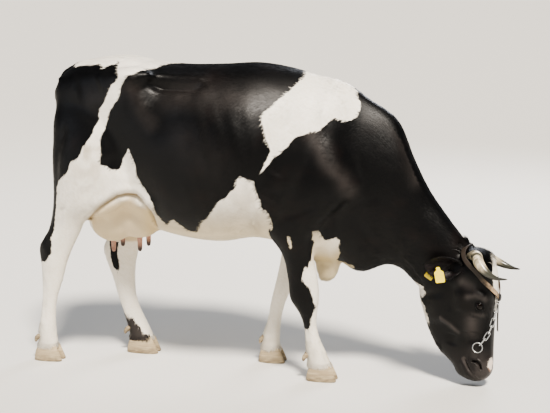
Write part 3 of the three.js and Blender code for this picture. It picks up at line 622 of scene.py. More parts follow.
def tube(
    path: Array, radius: Array, around: int = 12, closed: bool = False, up: tuple = (0.3, 0.2, 1.0)
) -> Surface:
    """A round tube: a circle of the given radius carried along a path, square to it.

    Args:
        path: Points of the centre line.
        radius: One radius for each point.
        around: Points round the tube.
        closed: Whether the path is a loop.
        up: A direction that the path never follows.

    Returns:
        The tube, with closed ends where it isn't a loop.
    """
    ahead = np.roll(path, -1, 0) - np.roll(path, 1, 0) if closed else np.gradient(path, axis=0)
    ahead = unit(ahead)
    across = unit(np.cross(ahead, np.array(up)))
    over = np.cross(across, ahead)
    angle = np.arange(around) / around * 2 * np.pi
    rings = path[:, None] + radius[:, None, None] * (
        np.cos(angle)[None, :, None] * across[:, None] + np.sin(angle)[None, :, None] * over[:, None]
    )
    return (Surface.of_loop(rings) if closed else Surface.of_grid(rings)).outward()


def smooth_path(points: Array, count: int, closed: bool = False) -> Array:
    """A Catmull-Rom curve through points, sampled at even steps of its parameter.

    Args:
        points: The points that the curve passes through, in any number of dimensions.
        count: How many samples to give.
        closed: Whether the curve is a loop.

    Returns:
        The samples.
    """
    n = len(points)
    if closed:
        place = np.arange(count) / count * n
        i = np.floor(place).astype(int)
        before, a, b, after = (points[(i + k) % n] for k in (-1, 0, 1, 2))
    else:
        place = np.linspace(0, n - 1, count)
        i = np.minimum(np.floor(place).astype(int), n - 2)
        a, b = points[i], points[i + 1]
        before = np.where((i > 0)[:, None], points[np.maximum(i - 1, 0)], 2 * a - b)
        after = np.where((i < n - 2)[:, None], points[np.minimum(i + 2, n - 1)], 2 * b - a)
    t = (place - i)[:, None]
    square, cube = 2 * before - 5 * a + 4 * b - after, 3 * a - before - 3 * b + after
    return 0.5 * (2 * a + (b - before) * t + square * t**2 + cube * t**3)


def dressed(surface: Surface, name: str, material: bpy.types.Material, slot: str, node: str = "") -> None:
    """Makes a piece of a surface, gives it its material, and says what it rides on and stands for.

    Args:
        surface: The piece's shape.
        name: The piece's name.
        material: What it is made of.
        slot: The slot of its finish.
        node: The solid node that it stands for, where it stands for one.
    """
    piece = surface.made(name)
    piece.data.materials.append(material)
    if node:
        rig.replaces(piece, node)
    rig.ride(piece, "root")
    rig.slot(piece, slot)


# ---- shaders ----
def linear(hexadecimal: str) -> tuple[float, float, float, float]:
    """An sRGB colour as linear light: v / 12.92 for small v, else ((v + 0.055) / 1.055) to the power 2.4.

    Args:
        hexadecimal: A colour such as #c0a080.

    Returns:
        Red, green, blue and 1.
    """
    srgb = [int(hexadecimal[i : i + 2], 16) / 255 for i in (1, 3, 5)]
    red, green, blue = (v / 12.92 if v <= 0.04045 else ((v + 0.055) / 1.055) ** 2.4 for v in srgb)
    return red, green, blue, 1.0


class Paint:
    """A node material being built. Every node goes through one function, add."""

    def __init__(self, name: str) -> None:
        """Starts a material that has only a Principled shader, linked to the output.

        Args:
            name: What the real material is.
        """
        self.material = bpy.data.materials.new(name)
        self.material.use_nodes = True
        self.tree = self.material.node_tree
        self.tree.nodes.clear()
        surface = self.add("BsdfPrincipled", out="BSDF")
        self.shader = surface.node
        self.add("OutputMaterial", {"Surface": surface})

    def add(self, kind: str, inputs: dict | None = None, out: int | str = 0, **settings: str) -> Socket | None:
        """Adds a shader node, sets its properties and fills its inputs.

        Args:
            kind: The node's type, without "ShaderNode".
            inputs: Input name or number to what fills it.
            out: Which output to give.
            **settings: Properties of the node.

        Returns:
            One of the node's outputs, or None where it has none.
        """
        node = self.tree.nodes.new("ShaderNode" + kind)
        for key, value in settings.items():
            setattr(node, key, value)
        for key, value in (inputs or {}).items():
            self.fill(node.inputs[key], value)
        return node.outputs[out] if node.outputs else None

    def fill(self, socket: Socket, value: Fill) -> None:
        """Fills or links a socket.

        Args:
            socket: The input.
            value: A number or vector, a colour such as #c0a080, the name of a value that the mesh holds, another
                socket, or a name or socket with a low and a high end for a smooth ramp of it from 0 to 1.
        """
        if isinstance(value, tuple) and isinstance(value[0], (str, Socket)):
            ends = {"Value": value[0], "From Min": value[1], "From Max": value[2]}
            value = self.add("MapRange", ends, interpolation_type="SMOOTHSTEP")
        elif isinstance(value, str) and value.startswith("#"):
            value = linear(value)
        elif isinstance(value, str):
            value = self.add("Attribute", out="Fac", attribute_name=value)
        if isinstance(value, Socket):
            self.tree.links.new(value, socket)
        else:
            socket.default_value = value

    def grain(self, size_mm: tuple[float, float, float], detail: float, turn: tuple = (0, 0, 0)) -> Socket:
        """Noise in Object coordinates whose grains are size_mm long along the turned X, Y and Z.

        Args:
            size_mm: Grain size along each axis.
            detail: How many finer layers are added.
            turn: Rotation of the pattern in degrees.

        Returns:
            A value about 0 to 1.
        """
        size = tuple(value * MM for value in size_mm)
        inputs = {"Vector": self.add("TexCoord", out="Object"), "Scale": size}
        inputs["Rotation"] = tuple(math.radians(angle) for angle in turn)
        place = self.add("Mapping", inputs, vector_type="TEXTURE")
        return self.add("TexNoise", {"Vector": place, "Scale": 1.0, "Detail": detail})

    def cells(self, size_mm: float) -> Socket:
        """Rounded cells of a size, in Object coordinates, as the distance from each cell's middle."""
        inputs = {"Vector": self.add("TexCoord", out="Object"), "Scale": 1 / (size_mm * MM)}
        return self.add("TexVoronoi", inputs, "Distance")

    def layers(self, base: Fill, *coats: tuple[Fill, Fill]) -> Socket:
        """Colours laid over one another.

        Args:
            base: The lowest colour.
            *coats: Each coat's share from 0 to 1, and its colour.

        Returns:
            The colour on top.
        """
        for share, colour in coats:
            base = self.add("Mix", {0: share, 6: base, 7: colour}, 2, data_type="RGBA")
        return base

    def finished(self, body: Fill, bumps: tuple = (), **sockets: Fill) -> bpy.types.Material:
        """Gives the shader its colour, its bumps and its other values.

        Args:
            body: The base colour.
            bumps: From the lowest up, each a height from 0 to 1 and how many millimetres it stands.
            **sockets: The shader's other inputs, with underscores for blanks.

        Returns:
            The material.
        """
        normal: dict = {}
        for height, stand in bumps:
            inputs = {"Height": height, "Strength": 1.0, "Distance": stand * MM} | normal
            normal = {"Normal": self.add("Bump", inputs)}
        for key, value in ({"Base Color": body} | normal | sockets).items():
            self.fill(self.shader.inputs[key.replace("_", " ")], value)
        return self.material


@dataclass(frozen=True)
class CoatFinish:
    """Short, flat, glossy cattle hair in two colours, with bare skin, stains, painted shade and painted highlights.

    Black hair is near-black and throws a grey sheen. White hair is matt and cream in its shade.
    """

    black: str = "#050506"
    rust: str = "#110b0a"
    white: str = "#f6f1e7"
    shade: str = "#ebe3d3"
    cream: str = "#cdbb92"
    # brown of stains, also laid as painted shade in the udder's crease, behind the elbow and under the body
    stain: str = "#8d7549"
    pink: str = "#cfa38c"
    # grey of bare nose skin and lips, also laid on the black hair as painted highlights and sheen
    slate: str = "#46413f"
    edge_mm: float = 14.0  # how ragged the patches' edges are
    pore_mm: float = 5.5  # spacing of the pads on the bare nose
    # A hair is about 0.05 mm thick, which is too fine to show, so strands are drawn as coarse as small locks.
    back_mm: tuple = (26, 5, 3.2)  # a lock that lies back along the body
    down_mm: tuple = (3.2, 5, 26)  # a lock that lies down a leg
    strand_mm: tuple = (22, 5, 3)
    clump_mm: tuple = (70, 40, 40)
    tip_mm: tuple = (9, 9, 4)  # hair tips where two colours meet
    cloud_mm: tuple = (160, 160, 120)  # rusty clouds in the black
    slope: float = 40.0  # how far the hair's way back slopes down, in degrees
    roughness: float = 0.40
    wet_roughness: float = 0.28
    specular: float = 0.24

    def colour(self, paint: Paint) -> Socket:
        """The hair's colour from the values held in the mesh, with ragged edges between patches.

        Args:
            paint: The material being built.

        Returns:
            The colour.
        """
        tips = paint.grain(self.tip_mm, 4.0, (0, self.slope - 5, 0))
        ragged = paint.add("Math", {0: tips, 1: 0.5}, operation="SUBTRACT")
        inside = paint.add("Math", {0: ragged, 1: self.edge_mm * MM, 2: "white"}, operation="MULTIPLY_ADD")
        strand = paint.grain(self.strand_mm, 3.0, (0, self.slope, 0))
        # The stain brown also lays painted shade on the white hair.
        white = paint.layers(
            self.white, ((strand, 0.35, 0.75), self.shade), ("cream", self.cream), ("stain", self.stain)
        )
        black = paint.layers(self.black, ((paint.grain(self.cloud_mm, 3.0), 0.5, 0.8), self.rust))
        # The slate grey also lays painted highlights and sheen on the black hair.
        return paint.layers(
            black, ((inside, -0.0025, 0.0025), white), ("slate", self.slate), ("pink", self.pink)
        )

    def on_skin(self) -> bpy.types.Material:
        """The coat as it lies on the skin: colour, sheen, and a bump drawn out along the hair."""
        paint = Paint("short_cattle_hair_on_skin")
        back = paint.grain(self.back_mm, 2.0, (0, self.slope, 0))
        down = paint.grain(self.down_mm, 2.0, (0, 6, 0))
        hair = paint.add("Mix", {0: "leg", 2: back, 3: down})
        clumps = paint.grain(self.clump_mm, 2.0, (0, self.slope - 5, 0))
        wet = paint.add("Math", {0: paint.cells(self.pore_mm), 1: "nose"}, operation="MULTIPLY")
        rough = paint.add("Mix", {0: "nose", 2: self.roughness, 3: self.wet_roughness})
        return paint.finished(
            self.colour(paint), ((clumps, 1.0), (hair, 0.5), (wet, 1.2)), Roughness=rough, IOR=1.5,
            Specular_IOR_Level=self.specular, Sheen_Weight=0.02, Sheen_Roughness=0.35,
        )

    def on_tufts(self) -> bpy.types.Material:
        """The coat's loose tufts, in the colour of the place where each one grows."""
        paint = Paint("short_cattle_hair_tufts")
        rough = self.roughness + 0.04
        return paint.finished(self.colour(paint), IOR=1.5, Specular_IOR_Level=self.specular, Roughness=rough)


@dataclass(frozen=True)
class HornFinish:
    """Cattle horn: smooth cream keratin, streaked at the root, grey towards the tip and dark and polished at the tip,
    with painted shade that turns its under side grey and dark sooner.
    """

    cream: str = "#e6d9bd"
    streaks: str = "#c2b08c"
    grey: str = "#3f3f36"
    tip: str = "#262420"
    streak_mm: tuple = (60, 7, 60)  # real streaks are under 1 mm wide, too fine to show, so they are coarser

    def made(self) -> bpy.types.Material:
        """The horn's material, which reads the share of its length and its under side held in the mesh."""
        paint = Paint("polished_horn_keratin")
        streak = paint.grain(self.streak_mm, 4.0)
        root = paint.add("Math", {0: ("along", 0.42, 0.2), 1: (streak, 0.3, 0.62)}, operation="MULTIPLY")
        far = paint.add("Math", {0: streak, 1: 0.10, 2: "along"}, operation="MULTIPLY_ADD")
        # Painted shade: the under side turns grey and dark sooner along the horn.
        far = paint.add("Math", {0: "under", 1: 0.16, 2: far}, operation="MULTIPLY_ADD")
        body = paint.layers(
            self.cream, ((streak, 0.35, 0.8), self.streaks), (root, self.grey), ((far, 0.38, 0.66), self.grey),
            ((far, 0.74, 1.02), self.tip),
        )
        return paint.finished(
            body, ((streak, 0.5),), Roughness=0.28, IOR=1.54, Coat_Weight=0.25, Coat_Roughness=0.15
        )


@dataclass(frozen=True)
class HoofFinish:
    """Hoof keratin: matt, brown to cream, with growth rings and ground-in earth near the sole."""

    horn: str = "#a8967a"
    pale: str = "#c4b496"
    earth: str = "#5d4f3a"
    ring_mm: tuple = (60, 60, 7)  # growth rings some 7 mm apart
    grit_mm: tuple = (30, 30, 12)

    def made(self) -> bpy.types.Material:
        """The hoof's material, which reads how earthy it is."""
        paint = Paint("worn_hoof_keratin")
        rings, grit = paint.grain(self.ring_mm, 1.0), paint.grain(self.grit_mm, 5.0)
        dirt = paint.add("Math", {0: "earth", 1: (grit, 0.1, 0.9)}, operation="MULTIPLY")
        body = paint.layers(self.horn, ((rings, 0.25, 0.8), self.pale), (dirt, self.earth))
        return paint.finished(body, ((rings, 0.4), (grit, 0.5)), Roughness=0.55, IOR=1.54)


@dataclass(frozen=True)
class EyeFinish:
    """A wet eyeball: a dark brown iris and a level oval pupil in a dark rim, with a sharp highlight."""

    iris: str = "#120a07"
    fleck: str = "#1c110b"
    pupil: str = "#030303"
    rim: str = "#14161a"
    white: str = "#1d1512"
    fleck_mm: tuple = (2, 2, 2)

    def made(self) -> bpy.types.Material:
        """The eye's material, which reads the distances from pupil and iris held in the mesh."""
        paint = Paint("wet_eyeball")
        body = paint.layers(
            self.iris, ((paint.grain(self.fleck_mm, 3.0), 0.3, 0.7), self.fleck), (("iris", 0.85, 1.0), self.rim),
            (("iris", 1.05, 1.25), self.white), (("pupil", 1.05, 0.95), self.pupil),
        )
        return paint.finished(body, Roughness=0.05, IOR=1.38, Specular_IOR_Level=0.4)


@dataclass(frozen=True)
class LeatherFinish:
    """Vegetable-tanned strap leather: fine grain, creases, darker edges and dirt in the grain."""

    name: str
    face: str
    dark: str
    roughness: float = 0.55
    cloud_mm: tuple = (28, 28, 28)
    grain_mm: float = 2.2  # real grain is about 0.5 mm, too fine to show, so it is coarser

    def made(self) -> bpy.types.Material:
        """The leather's material."""
        paint = Paint(self.name)
        cloud = paint.grain(self.cloud_mm, 5.0)
        # The edge value darkens the leather's edges, and on the band also its upper part as painted shade.
        body = paint.layers(self.face, ((cloud, 0.35, 0.75), self.dark), ("edge", self.dark))
        bumps = ((cloud, 0.8), (paint.cells(self.grain_mm), 0.35))
        return paint.finished(body, bumps, Roughness=self.roughness, IOR=1.5)


@dataclass(frozen=True)
class SteelFinish:
    """Bright zinc-plated steel wire: metallic, with dull, rougher spots."""

    bright: str = "#d4d6d6"
    dull: str = "#86857f"
    spot_mm: tuple = (6, 6, 6)

    def made(self) -> bpy.types.Material:
        """The steel's material."""
        paint = Paint("zinc_plated_steel_wire")
        spots = paint.grain(self.spot_mm, 4.0)
        rough = paint.add("Mix", {0: spots, 2: 0.22, 3: 0.5})
        body = paint.layers(self.bright, ((spots, 0.5, 0.72), self.dull))
        return paint.finished(body, ((spots, 0.2),), Roughness=rough, Metallic=1.0)


@dataclass(frozen=True)
class TagFinish:
    """Moulded polyurethane ear tag: saturated yellow, slightly waxy, scuffed and dirty in patches."""

    yellow: str = "#f4dc4a"
    dirt: str = "#8c7a2e"
    scuff_mm: tuple = (14, 14, 14)

    def made(self) -> bpy.types.Material:
        """The tag's material."""
        paint = Paint("moulded_yellow_polyurethane")
        scuff = paint.grain(self.scuff_mm, 5.0)
        body = paint.layers(self.yellow, ((scuff, 0.55, 0.85), self.dirt))
        return paint.finished(
            body, ((scuff, 0.4),), Roughness=0.42, IOR=1.5, Subsurface_Weight=0.1, Subsurface_Scale=0.004
        )


# ---- the skin ----
@dataclass(frozen=True)
class Relief:
    """A ridge or groove that the skin follows: it rises by height along a path and fades over width.

    The path lies in the side view (x, z) of the body, or of the unturned head. Millimetres.
    """

    path: tuple[tuple[float, float], ...]
    height: float
    width: float
    on_head: bool = False
    side: Side | None = None
    fade: float = 0.25  # share of the path at each end over which it fades


UDDER_CREASE = (
    (-850, 715), (-795, 765), (-755, 798), (-720, 822), (-670, 853), (-630, 863), (-580, 857), (-540, 828),
    (-515, 770), (-512, 700),
)
LOIN_GROOVE = ((-580, 1390), (-410, 1375), (-200, 1375))
BODY_RELIEF = (
    Relief(((-560, 1420), (-430, 1408), (-330, 1404), (-220, 1398)), 9, 17, fade=0.2),  # the loin's side bones
    Relief(((-535, 1382), (-480, 1377), (-410, 1370), (-315, 1366), (-225, 1369)), -25, 18, fade=0.3),  # under them
    Relief(((-520, 1352), (-440, 1345), (-350, 1340), (-240, 1345)), -9, 36, fade=0.3),
    Relief(((-480, 1300), (-420, 1240)), -20, 85, fade=0.0),  # hollow of the flank
    Relief(((-592, 1432), (-572, 1370), (-548, 1305), (-515, 1235)), 7, 36),  # hook bone
    Relief(((-735, 1385), (-870, 1335)), -11, 62),  # hollow between hook and pin
    Relief(((250, 1330), (330, 1150), (392, 980)), 6, 34),  # spine of the shoulder blade
    Relief(((150, 1280), (75, 1120), (62, 980), (50, 880)), -11, 40),  # behind the shoulder
    Relief(((415, 930), (412, 880)), 12, 46, fade=0.0),  # point of the shoulder
    Relief(((120, 1000), (60, 890)), 9, 55),  # triceps
    Relief(((290, 860), (180, 812), (90, 790)), -8, 22),  # between triceps and forearm
    Relief(((20, 830), (-5, 780)), 9, 30, fade=0.0),  # elbow
    Relief(((330, 800), (300, 720), (255, 640)), -5, 20),  # front of the forearm
    Relief(((-665, 1060), (-760, 920), (-850, 820)), -8, 26),  # front of the thigh's long muscle
    Relief(((-905, 1200), (-965, 1050), (-985, 880)), -9, 24),  # between the thigh's rear muscles
    Relief(((-620, 930), (-625, 890)), 9, 42, side=Side.RIGHT, fade=0.0),  # knee cap
    Relief(((-525, 930), (-520, 890)), 9, 42, side=Side.LEFT, fade=0.0),
    Relief(((-690, 860), (-600, 830), (-540, 820), (-460, 860)), 9, 26),  # fold of the flank
    Relief(UDDER_CREASE, -15, 9, fade=0.1),
    Relief(  # udder
        ((-780, 735), (-735, 770), (-690, 800), (-635, 815), (-585, 805), (-550, 770)), 13, 34, fade=0.12
    ),
    Relief(
        ((-800, 800), (-720, 850), (-670, 885), (-625, 896), (-570, 888), (-510, 840), (-480, 765)), 8, 18,
        fade=0.12,
    ),
    Relief(((-470, 668), (-330, 672), (-180, 690), (-60, 700)), 7, 12),  # milk vein
    Relief(((-930, 800), (-961, 770), (-991, 690), (-1036, 620)), -9, 15, side=Side.RIGHT),  # before the hamstring
    Relief(((-790, 745), (-805, 700), (-815, 640), (-850, 560)), -9, 15, side=Side.LEFT),
    Relief(((440, 800), (520, 690), (620, 600), (720, 520)), -8, 24),  # jugular furrow
    Relief(((470, 880), (600, 740), (700, 640)), 6, 40),  # long muscle of the neck
    Relief(((625, 610), (685, 565), (755, 475)), 6, 14),  # fold at the throat
    Relief(((660, 555), (712, 500), (745, 440)), -5, 10),
    Relief(((425, 1080), (440, 1020), (462, 950), (455, 880)), -6, 26),  # before the shoulder
    Relief(((360, 640), (372, 560), (330, 480)), -4, 14),  # folds of the dewlap
    Relief(((300, 640), (318, 560), (290, 490)), 4, 14),
    Relief(((208, 330), (206, 270), (214, 200)), -5, 9, side=Side.RIGHT),  # between cannon bone and tendons
    Relief(((-10, 320), (-24, 250), (-32, 190)), -5, 9, side=Side.LEFT),
    Relief(((-1085, 420), (-1094, 320), (-1100, 225)), -5, 9, side=Side.RIGHT),
    Relief(((-812, 380), (-786, 280), (-756, 200)), -5, 9, side=Side.LEFT),
    Relief(((-1085, 600), (-1040, 520), (-1050, 450)), 4, 16, side=Side.RIGHT),  # inner bones of the hock
    Relief(((-850, 540), (-800, 450), (-810, 400)), 4, 16, side=Side.LEFT),
)
HEAD_RELIEF = (
    Relief(((790, 332), (820, 316), (849, 295), (888, 262)), 6, 12, True),  # crest of the cheek bone
    Relief(((775, 440), (790, 360), (800, 285)), 9, 48, True),  # chewing muscle
    Relief(((862, 255), (850, 190)), -9, 26, True),  # behind the corner of the mouth
    Relief(((925, 236), (998, 242)), -9, 20, True, fade=0.15),  # hollow before the cheek
    Relief(((950, 345), (948, 270)), 8, 34, True, fade=0.1),  # plate of the cheek
    Relief(((915, 160), (928, 115), (950, 78)), -4, 8, True),  # behind the nostril
    Relief(((1000, 230), (1014, 180), (1025, 138)), -5, 10, True),  # beside the nose bridge
    Relief(((900, 512), (935, 492), (968, 476)), -9, 26, True),  # temple
    Relief(((940, 455), (975, 456), (1015, 436)), 7, 15, True),  # ridge over the eye
    Relief(((950, 360), (972, 350), (1000, 352)), 5, 13, True),  # under the eye
    Relief(((1000, 22), (975, 50), (945, 88), (914, 136)), -8, 5, True, fade=0.05),  # line of the mouth
    Relief(((975, 66), (948, 104), (925, 140)), 4, 9, True),  # upper lip
    Relief(((945, 50), (920, 90), (900, 130)), 4, 10, True),  # lower lip
    Relief(((1000, 368), (1012, 352), (1020, 330)), -4, 7, True),  # tear groove
    Relief(((868, 500), (852, 420), (856, 350)), -8, 20, True),  # behind the jaw's joint
    Relief(((880, 470), (905, 420), (900, 360)), 5, 26, True),  # jaw's joint
)


@dataclass(frozen=True)
class EyeSize:
    """The eyeball and its opening, in metres, in the frame of the unturned head."""

    x: float = 984 * MM
    y: float = 85 * MM
    z: float = 402 * MM
    radius: float = 22 * MM
    half_length: float = 22 * MM
    half_width: float = 11 * MM
    lid: float = 3.0 * MM

    def axes(self, side: Side) -> tuple[Array, Array, Array, Array]:
        """Where an eye is and how its opening lies.

        Args:
            side: Which eye.

        Returns:
            The eye's centre, the way it looks, and the long and short directions of its opening.
        """
        out = unit(np.array([0.30, side.value, 0.02]))
        long = square_to(np.array([-0.60, 0.0, 0.80]), out)
        return np.array([self.x, self.y * side.value, self.z]), out, long, np.cross(out, long)

    def distance(self, head: Array) -> Array:
        """How far points of the unturned head lie from the nearer eye's middle."""
        folded = np.stack([head[:, 0], np.abs(head[:, 1]), head[:, 2]], 1)
        return np.linalg.norm(folded - [self.x, self.y, self.z], axis=1)


@dataclass(frozen=True)
class NostrilSize:
    """A comma-shaped nostril on each side of the muzzle, in metres, in the frame of the unturned head."""

    path: tuple[tuple[float, float], ...] = ((994, 100), (987, 118), (974, 130), (957, 131))
    depth: float = 13 * MM
    half_width: float = 7 * MM
    rim: float = 3 * MM


@dataclass
class Skin:
    """One skin over the whole cow: joined lofts, smoothed, finer on the face, then modelled."""

    finish: CoatFinish
    voxel: float = 12 * MM
    rib_spacing: float = 78 * MM
    rib_height: float = 0.8 * MM
    crease_reach: float = 34 * MM  # how far round a sharp groove the mesh is made finer
    face_reach: tuple = ((52 * MM, 40 * MM), (34 * MM, 24 * MM))  # the same for eyes and nostrils, twice
    eye: EyeSize = EyeSize()
    nostril: NostrilSize = NostrilSize()
    piece: bpy.types.Object | None = None

    def forms(self) -> list[Surface]:
        """The lofts and ellipsoids that the skin joins, all drawn in by the depth of the coat.

        Returns:
            One closed surface for each form.
        """
        inward = -COAT_DEPTH

        def loft(table: list[list[float]], side: int = 1, steps: int = 60, around: int = 72) -> Surface:
            """A closed skin over a table's cross-sections, in the part's frame."""
            rings = section_rings(smooth_rows(table, steps), side, around, inward)
            return Surface.of_grid(rings + [BODY_SHIFT, 0, 0]).outward()

        made = [loft(TRUNK, steps=90), loft(NECK), loft(BRISKET, steps=24, around=48), loft(TAIL_DOCK, around=32)]
        made += [loft(FORELEG_RIGHT, -1, around=48), loft(HIND_LEG_RIGHT, -1, around=48)]
        made += [loft(FORELEG_LEFT, 1, around=48), loft(HIND_LEG_LEFT, 1, around=48)]
        head = section_rings(smooth_rows(HEAD, 60), 1, 72, inward)
        made.append(Surface.of_grid(from_head(head)).outward())
        for x, y, z, rx, ry, rz in (UDDER_REAR, UDDER_FORE, HOOK_BONE, PIN_BONE):
            for side in Side:
                centre = np.array([x, y * side.value, z]) * MM + [BODY_SHIFT, 0, 0]
                made.append(ball(centre, np.array([rx, ry, rz]) * MM + inward))
        x, y, z, rx, ry, rz = BROW
        for side in Side:
            brow = ball(np.array([x, y * side.value, z]) * MM, np.array([rx, ry, rz]) * MM + inward)
            brow.points = from_head(brow.points)
            made.append(brow)
        return made

    def remeshed(self) -> bpy.types.Mesh:
        """The forms joined into one even mesh of small squares by a voxel remesh.

        Returns:
            The mesh.
        """
        rough = joined(self.forms()).made("rough")
        modifier = rough.modifiers.new("join", "REMESH")
        modifier.mode = "VOXEL"
        modifier.voxel_size = self.voxel
        modifier.use_smooth_shade = True
        mesh = bpy.data.meshes.new_from_object(rough.evaluated_get(bpy.context.evaluated_depsgraph_get()))
        bpy.data.objects.remove(rough)
        return mesh

    @staticmethod
    def rows_of(items: bpy.types.bpy_prop_collection, key: str) -> Array:
        """What each vertex or face of a mesh holds under a key.

        Args:
            items: The mesh's vertices or polygons.
            key: The key of a vector, such as co or normal.

        Returns:
            One row of three for each item.
        """
        rows = np.empty(len(items) * 3, np.float32)
        items.foreach_get(key, rows)
        return rows.reshape(-1, 3).astype(float)

    @classmethod
    def points_of(cls, mesh: bpy.types.Mesh) -> Array:
        """The mesh's points."""
        return cls.rows_of(mesh.vertices, "co")

    @classmethod
    def normals_of(cls, mesh: bpy.types.Mesh) -> Array:
        """The mesh's normals at its points."""
        return cls.rows_of(mesh.vertices, "normal")

    @classmethod
    def middles(cls, mesh: bpy.types.Mesh) -> Array:
        """The middle of each face."""
        return cls.rows_of(mesh.polygons, "center")

    @staticmethod
    def put(mesh: bpy.types.Mesh, points: Array) -> None:
        """Gives the mesh new places for its points."""
        mesh.vertices.foreach_set("co", points.astype(np.float32).ravel())
        mesh.update()

    def smoothed(self, mesh: bpy.types.Mesh, rounds: int, share: Array | float = 1.0, back: float = -0.57) -> None:
        """Taubin smoothing: each round moves points to their neighbours' mean and then a little way back.

        Args:
            mesh: The mesh.
            rounds: How many rounds.
            share: How much each point takes part.
            back: The second step, below 0, or 0 for plain smoothing.
        """
        edges = np.empty(len(mesh.edges) * 2, np.int32)
        mesh.edges.foreach_get("vertices", edges)
        a, b = edges.reshape(-1, 2).T
        points = self.points_of(mesh)
        count = len(points)
        near = np.maximum(np.bincount(a, minlength=count) + np.bincount(b, minlength=count), 1)[:, None]
        weight = np.reshape(share, (-1, 1)) if isinstance(share, np.ndarray) else share
        for step in (0.55, back) * rounds:
            mean = np.stack(
                [np.bincount(a, points[b, k], count) + np.bincount(b, points[a, k], count) for k in range(3)], 1
            )
            points = points + step * weight * (mean / near - points)
        self.put(mesh, points)

    def refine(self, mesh: bpy.types.Mesh, wanted: Array) -> None:
        """Halves the squares that are wanted.

        Args:
            mesh: The mesh.
            wanted: Whether each face is one of them.
        """
        shape = bmesh.new()
        shape.from_mesh(mesh)
        shape.faces.ensure_lookup_table()
        faces = [shape.faces[i] for i in np.flatnonzero(wanted)]
        edges = list({edge for face in faces for edge in face.edges})
        bmesh.ops.subdivide_edges(shape, edges=edges, cuts=1, use_grid_fill=True)
        shape.to_mesh(mesh)
        shape.free()

    def near_face(self, points: Array, eyes: float, nostrils: float) -> Array:
        """Whether points lie near an eye or a nostril.

        Args:
            points: Places in the part's frame.
            eyes: How far from an eye's middle counts.
            nostrils: How far from a nostril's path counts.

        Returns:
            True or false for each place.
        """
        head = to_head(points)
        side = np.abs(head[:, 1])
        along, _ = distance_to_path(head[:, [0, 2]], np.array(self.nostril.path) * MM)
        return (self.eye.distance(head) < eyes) | ((along < nostrils) & (side > 20 * MM))

    def modelled(self, mesh: bpy.types.Mesh) -> None:
        """Moves the skin along its normals by every ridge and groove, then shapes nostrils and lids.

        A ridge is height times exp(-(distance / width)^2), and it fades towards the ends of its path.

        Args:
            mesh: The skin's mesh.
        """
        points, normals = self.points_of(mesh), self.normals_of(mesh)
        head = to_head(points)
        sideways = smooth_step(np.abs(normals[:, 1]), 0.15, 0.6)
        in_head = smooth_step(head[:, 0] - head[:, 2] * 0.1, 0.66, 0.72) * (head[:, 2] < 0.66)
        rise = np.zeros(len(points))
        for relief in BODY_RELIEF + HEAD_RELIEF:
            place = (head if relief.on_head else points)[:, [0, 2]]
            near, along = distance_to_path(place, np.array(relief.path) * MM)
            shape = np.exp(-((near / (relief.width * MM)) ** 2))
            if relief.fade:
                shape *= smooth_step(np.minimum(along, 1 - along), -0.02, relief.fade)
            if relief.side:
                shape *= points[:, 1] * relief.side.value > 0
            outer = smooth_step(points[:, 1] * normals[:, 1], -0.002, 0.01) if not relief.on_head else 1.0
            rise += relief.height * MM * shape * outer * (in_head if relief.on_head else 1 - in_head)
        ribs = np.sin((points[:, 0] + 0.32 * (points[:, 2] - 1.1)) * 2 * math.pi / self.rib_spacing)
        window = smooth_step(points[:, 0], -0.36, -0.26) * smooth_step(points[:, 0], 0.06, -0.05)
        window *= smooth_step(points[:, 2], 0.78, 0.92) * smooth_step(points[:, 2], 1.36, 1.2)
        rise += self.rib_height * ribs * window
        rise += 1.2 * MM * value_noise(points, 0.07, 3) * (1 - in_head)
        points = points + normals * (rise * sideways)[:, None]
        points = self.with_nostrils(points, normals)
        points = self.with_lids(points)
        self.put(mesh, points)

    def with_nostrils(self, points: Array, normals: Array) -> Array:
        """Nostrils: a pit along the comma-shaped path with a raised rim round it.

        Args:
            points: The skin's points.
            normals: Its normals there.

        Returns:
            The points, moved.
        """
        head = to_head(points)
        near, along = distance_to_path(head[:, [0, 2]], np.array(self.nostril.path) * MM)
        width = self.nostril.half_width * (0.7 + 0.5 * np.sin(math.pi * np.clip(along, 0.05, 0.95)))
        share = near / width
        pit = -self.nostril.depth * smooth_step(share, 1.0, 0.25)
        rim = self.nostril.rim * np.exp(-(((share - 1.5) / 0.45) ** 2))
        on_side = smooth_step(np.abs(head[:, 1]), 0.02, 0.04) * (head[:, 2] < 0.2)
        return points + normals * ((pit + rim) * on_side)[:, None]

    def with_lids(self, points: Array) -> Array:
        """Lids: skin drawn under the ball inside the almond opening, and lying over it round the edge.

        Args:
            points: The skin's points.

        Returns:
            The points, moved.
        """
        head = to_head(points)
        for side in Side:
            centre, out, long, across = self.eye.axes(side)
            from_ball = head - centre
            reach = np.linalg.norm(from_ball, axis=1)
            s, t = from_ball @ long / self.eye.half_length, from_ball @ across / self.eye.half_width
            share = np.sqrt(s**2 + t**2 * (1 + 0.5 * s**2))
            facing = (from_ball @ out > 0.0) & (reach < 0.07)
            over = self.eye.radius + self.eye.lid * (1 + 0.5 * np.exp(-(((share - 1.12) / 0.12) ** 2)))
            under = self.eye.radius - 6 * MM
            wanted = under + (over - under) * smooth_step(share, 0.9, 1.04)
            keep = smooth_step(share, 1.25, 2.1)
            socket = np.maximum(reach - 2.5 * MM * np.exp(-(((share - 1.9) / 0.35) ** 2)), self.eye.radius)
            fold = np.exp(-(((share - 1.75) / 0.16) ** 2)) + 0.8 * np.exp(-(((share - 2.35) / 0.2) ** 2))
            socket = socket - 2.2 * MM * fold * smooth_step(np.abs(t), 0.2, 0.9)
            target = wanted * (1 - keep) + socket * keep
            target = np.where(facing & (share < 3.2), target, reach)
            head = centre + from_ball * (target / np.maximum(reach, 1e-9))[:, None]
        return from_head(head)

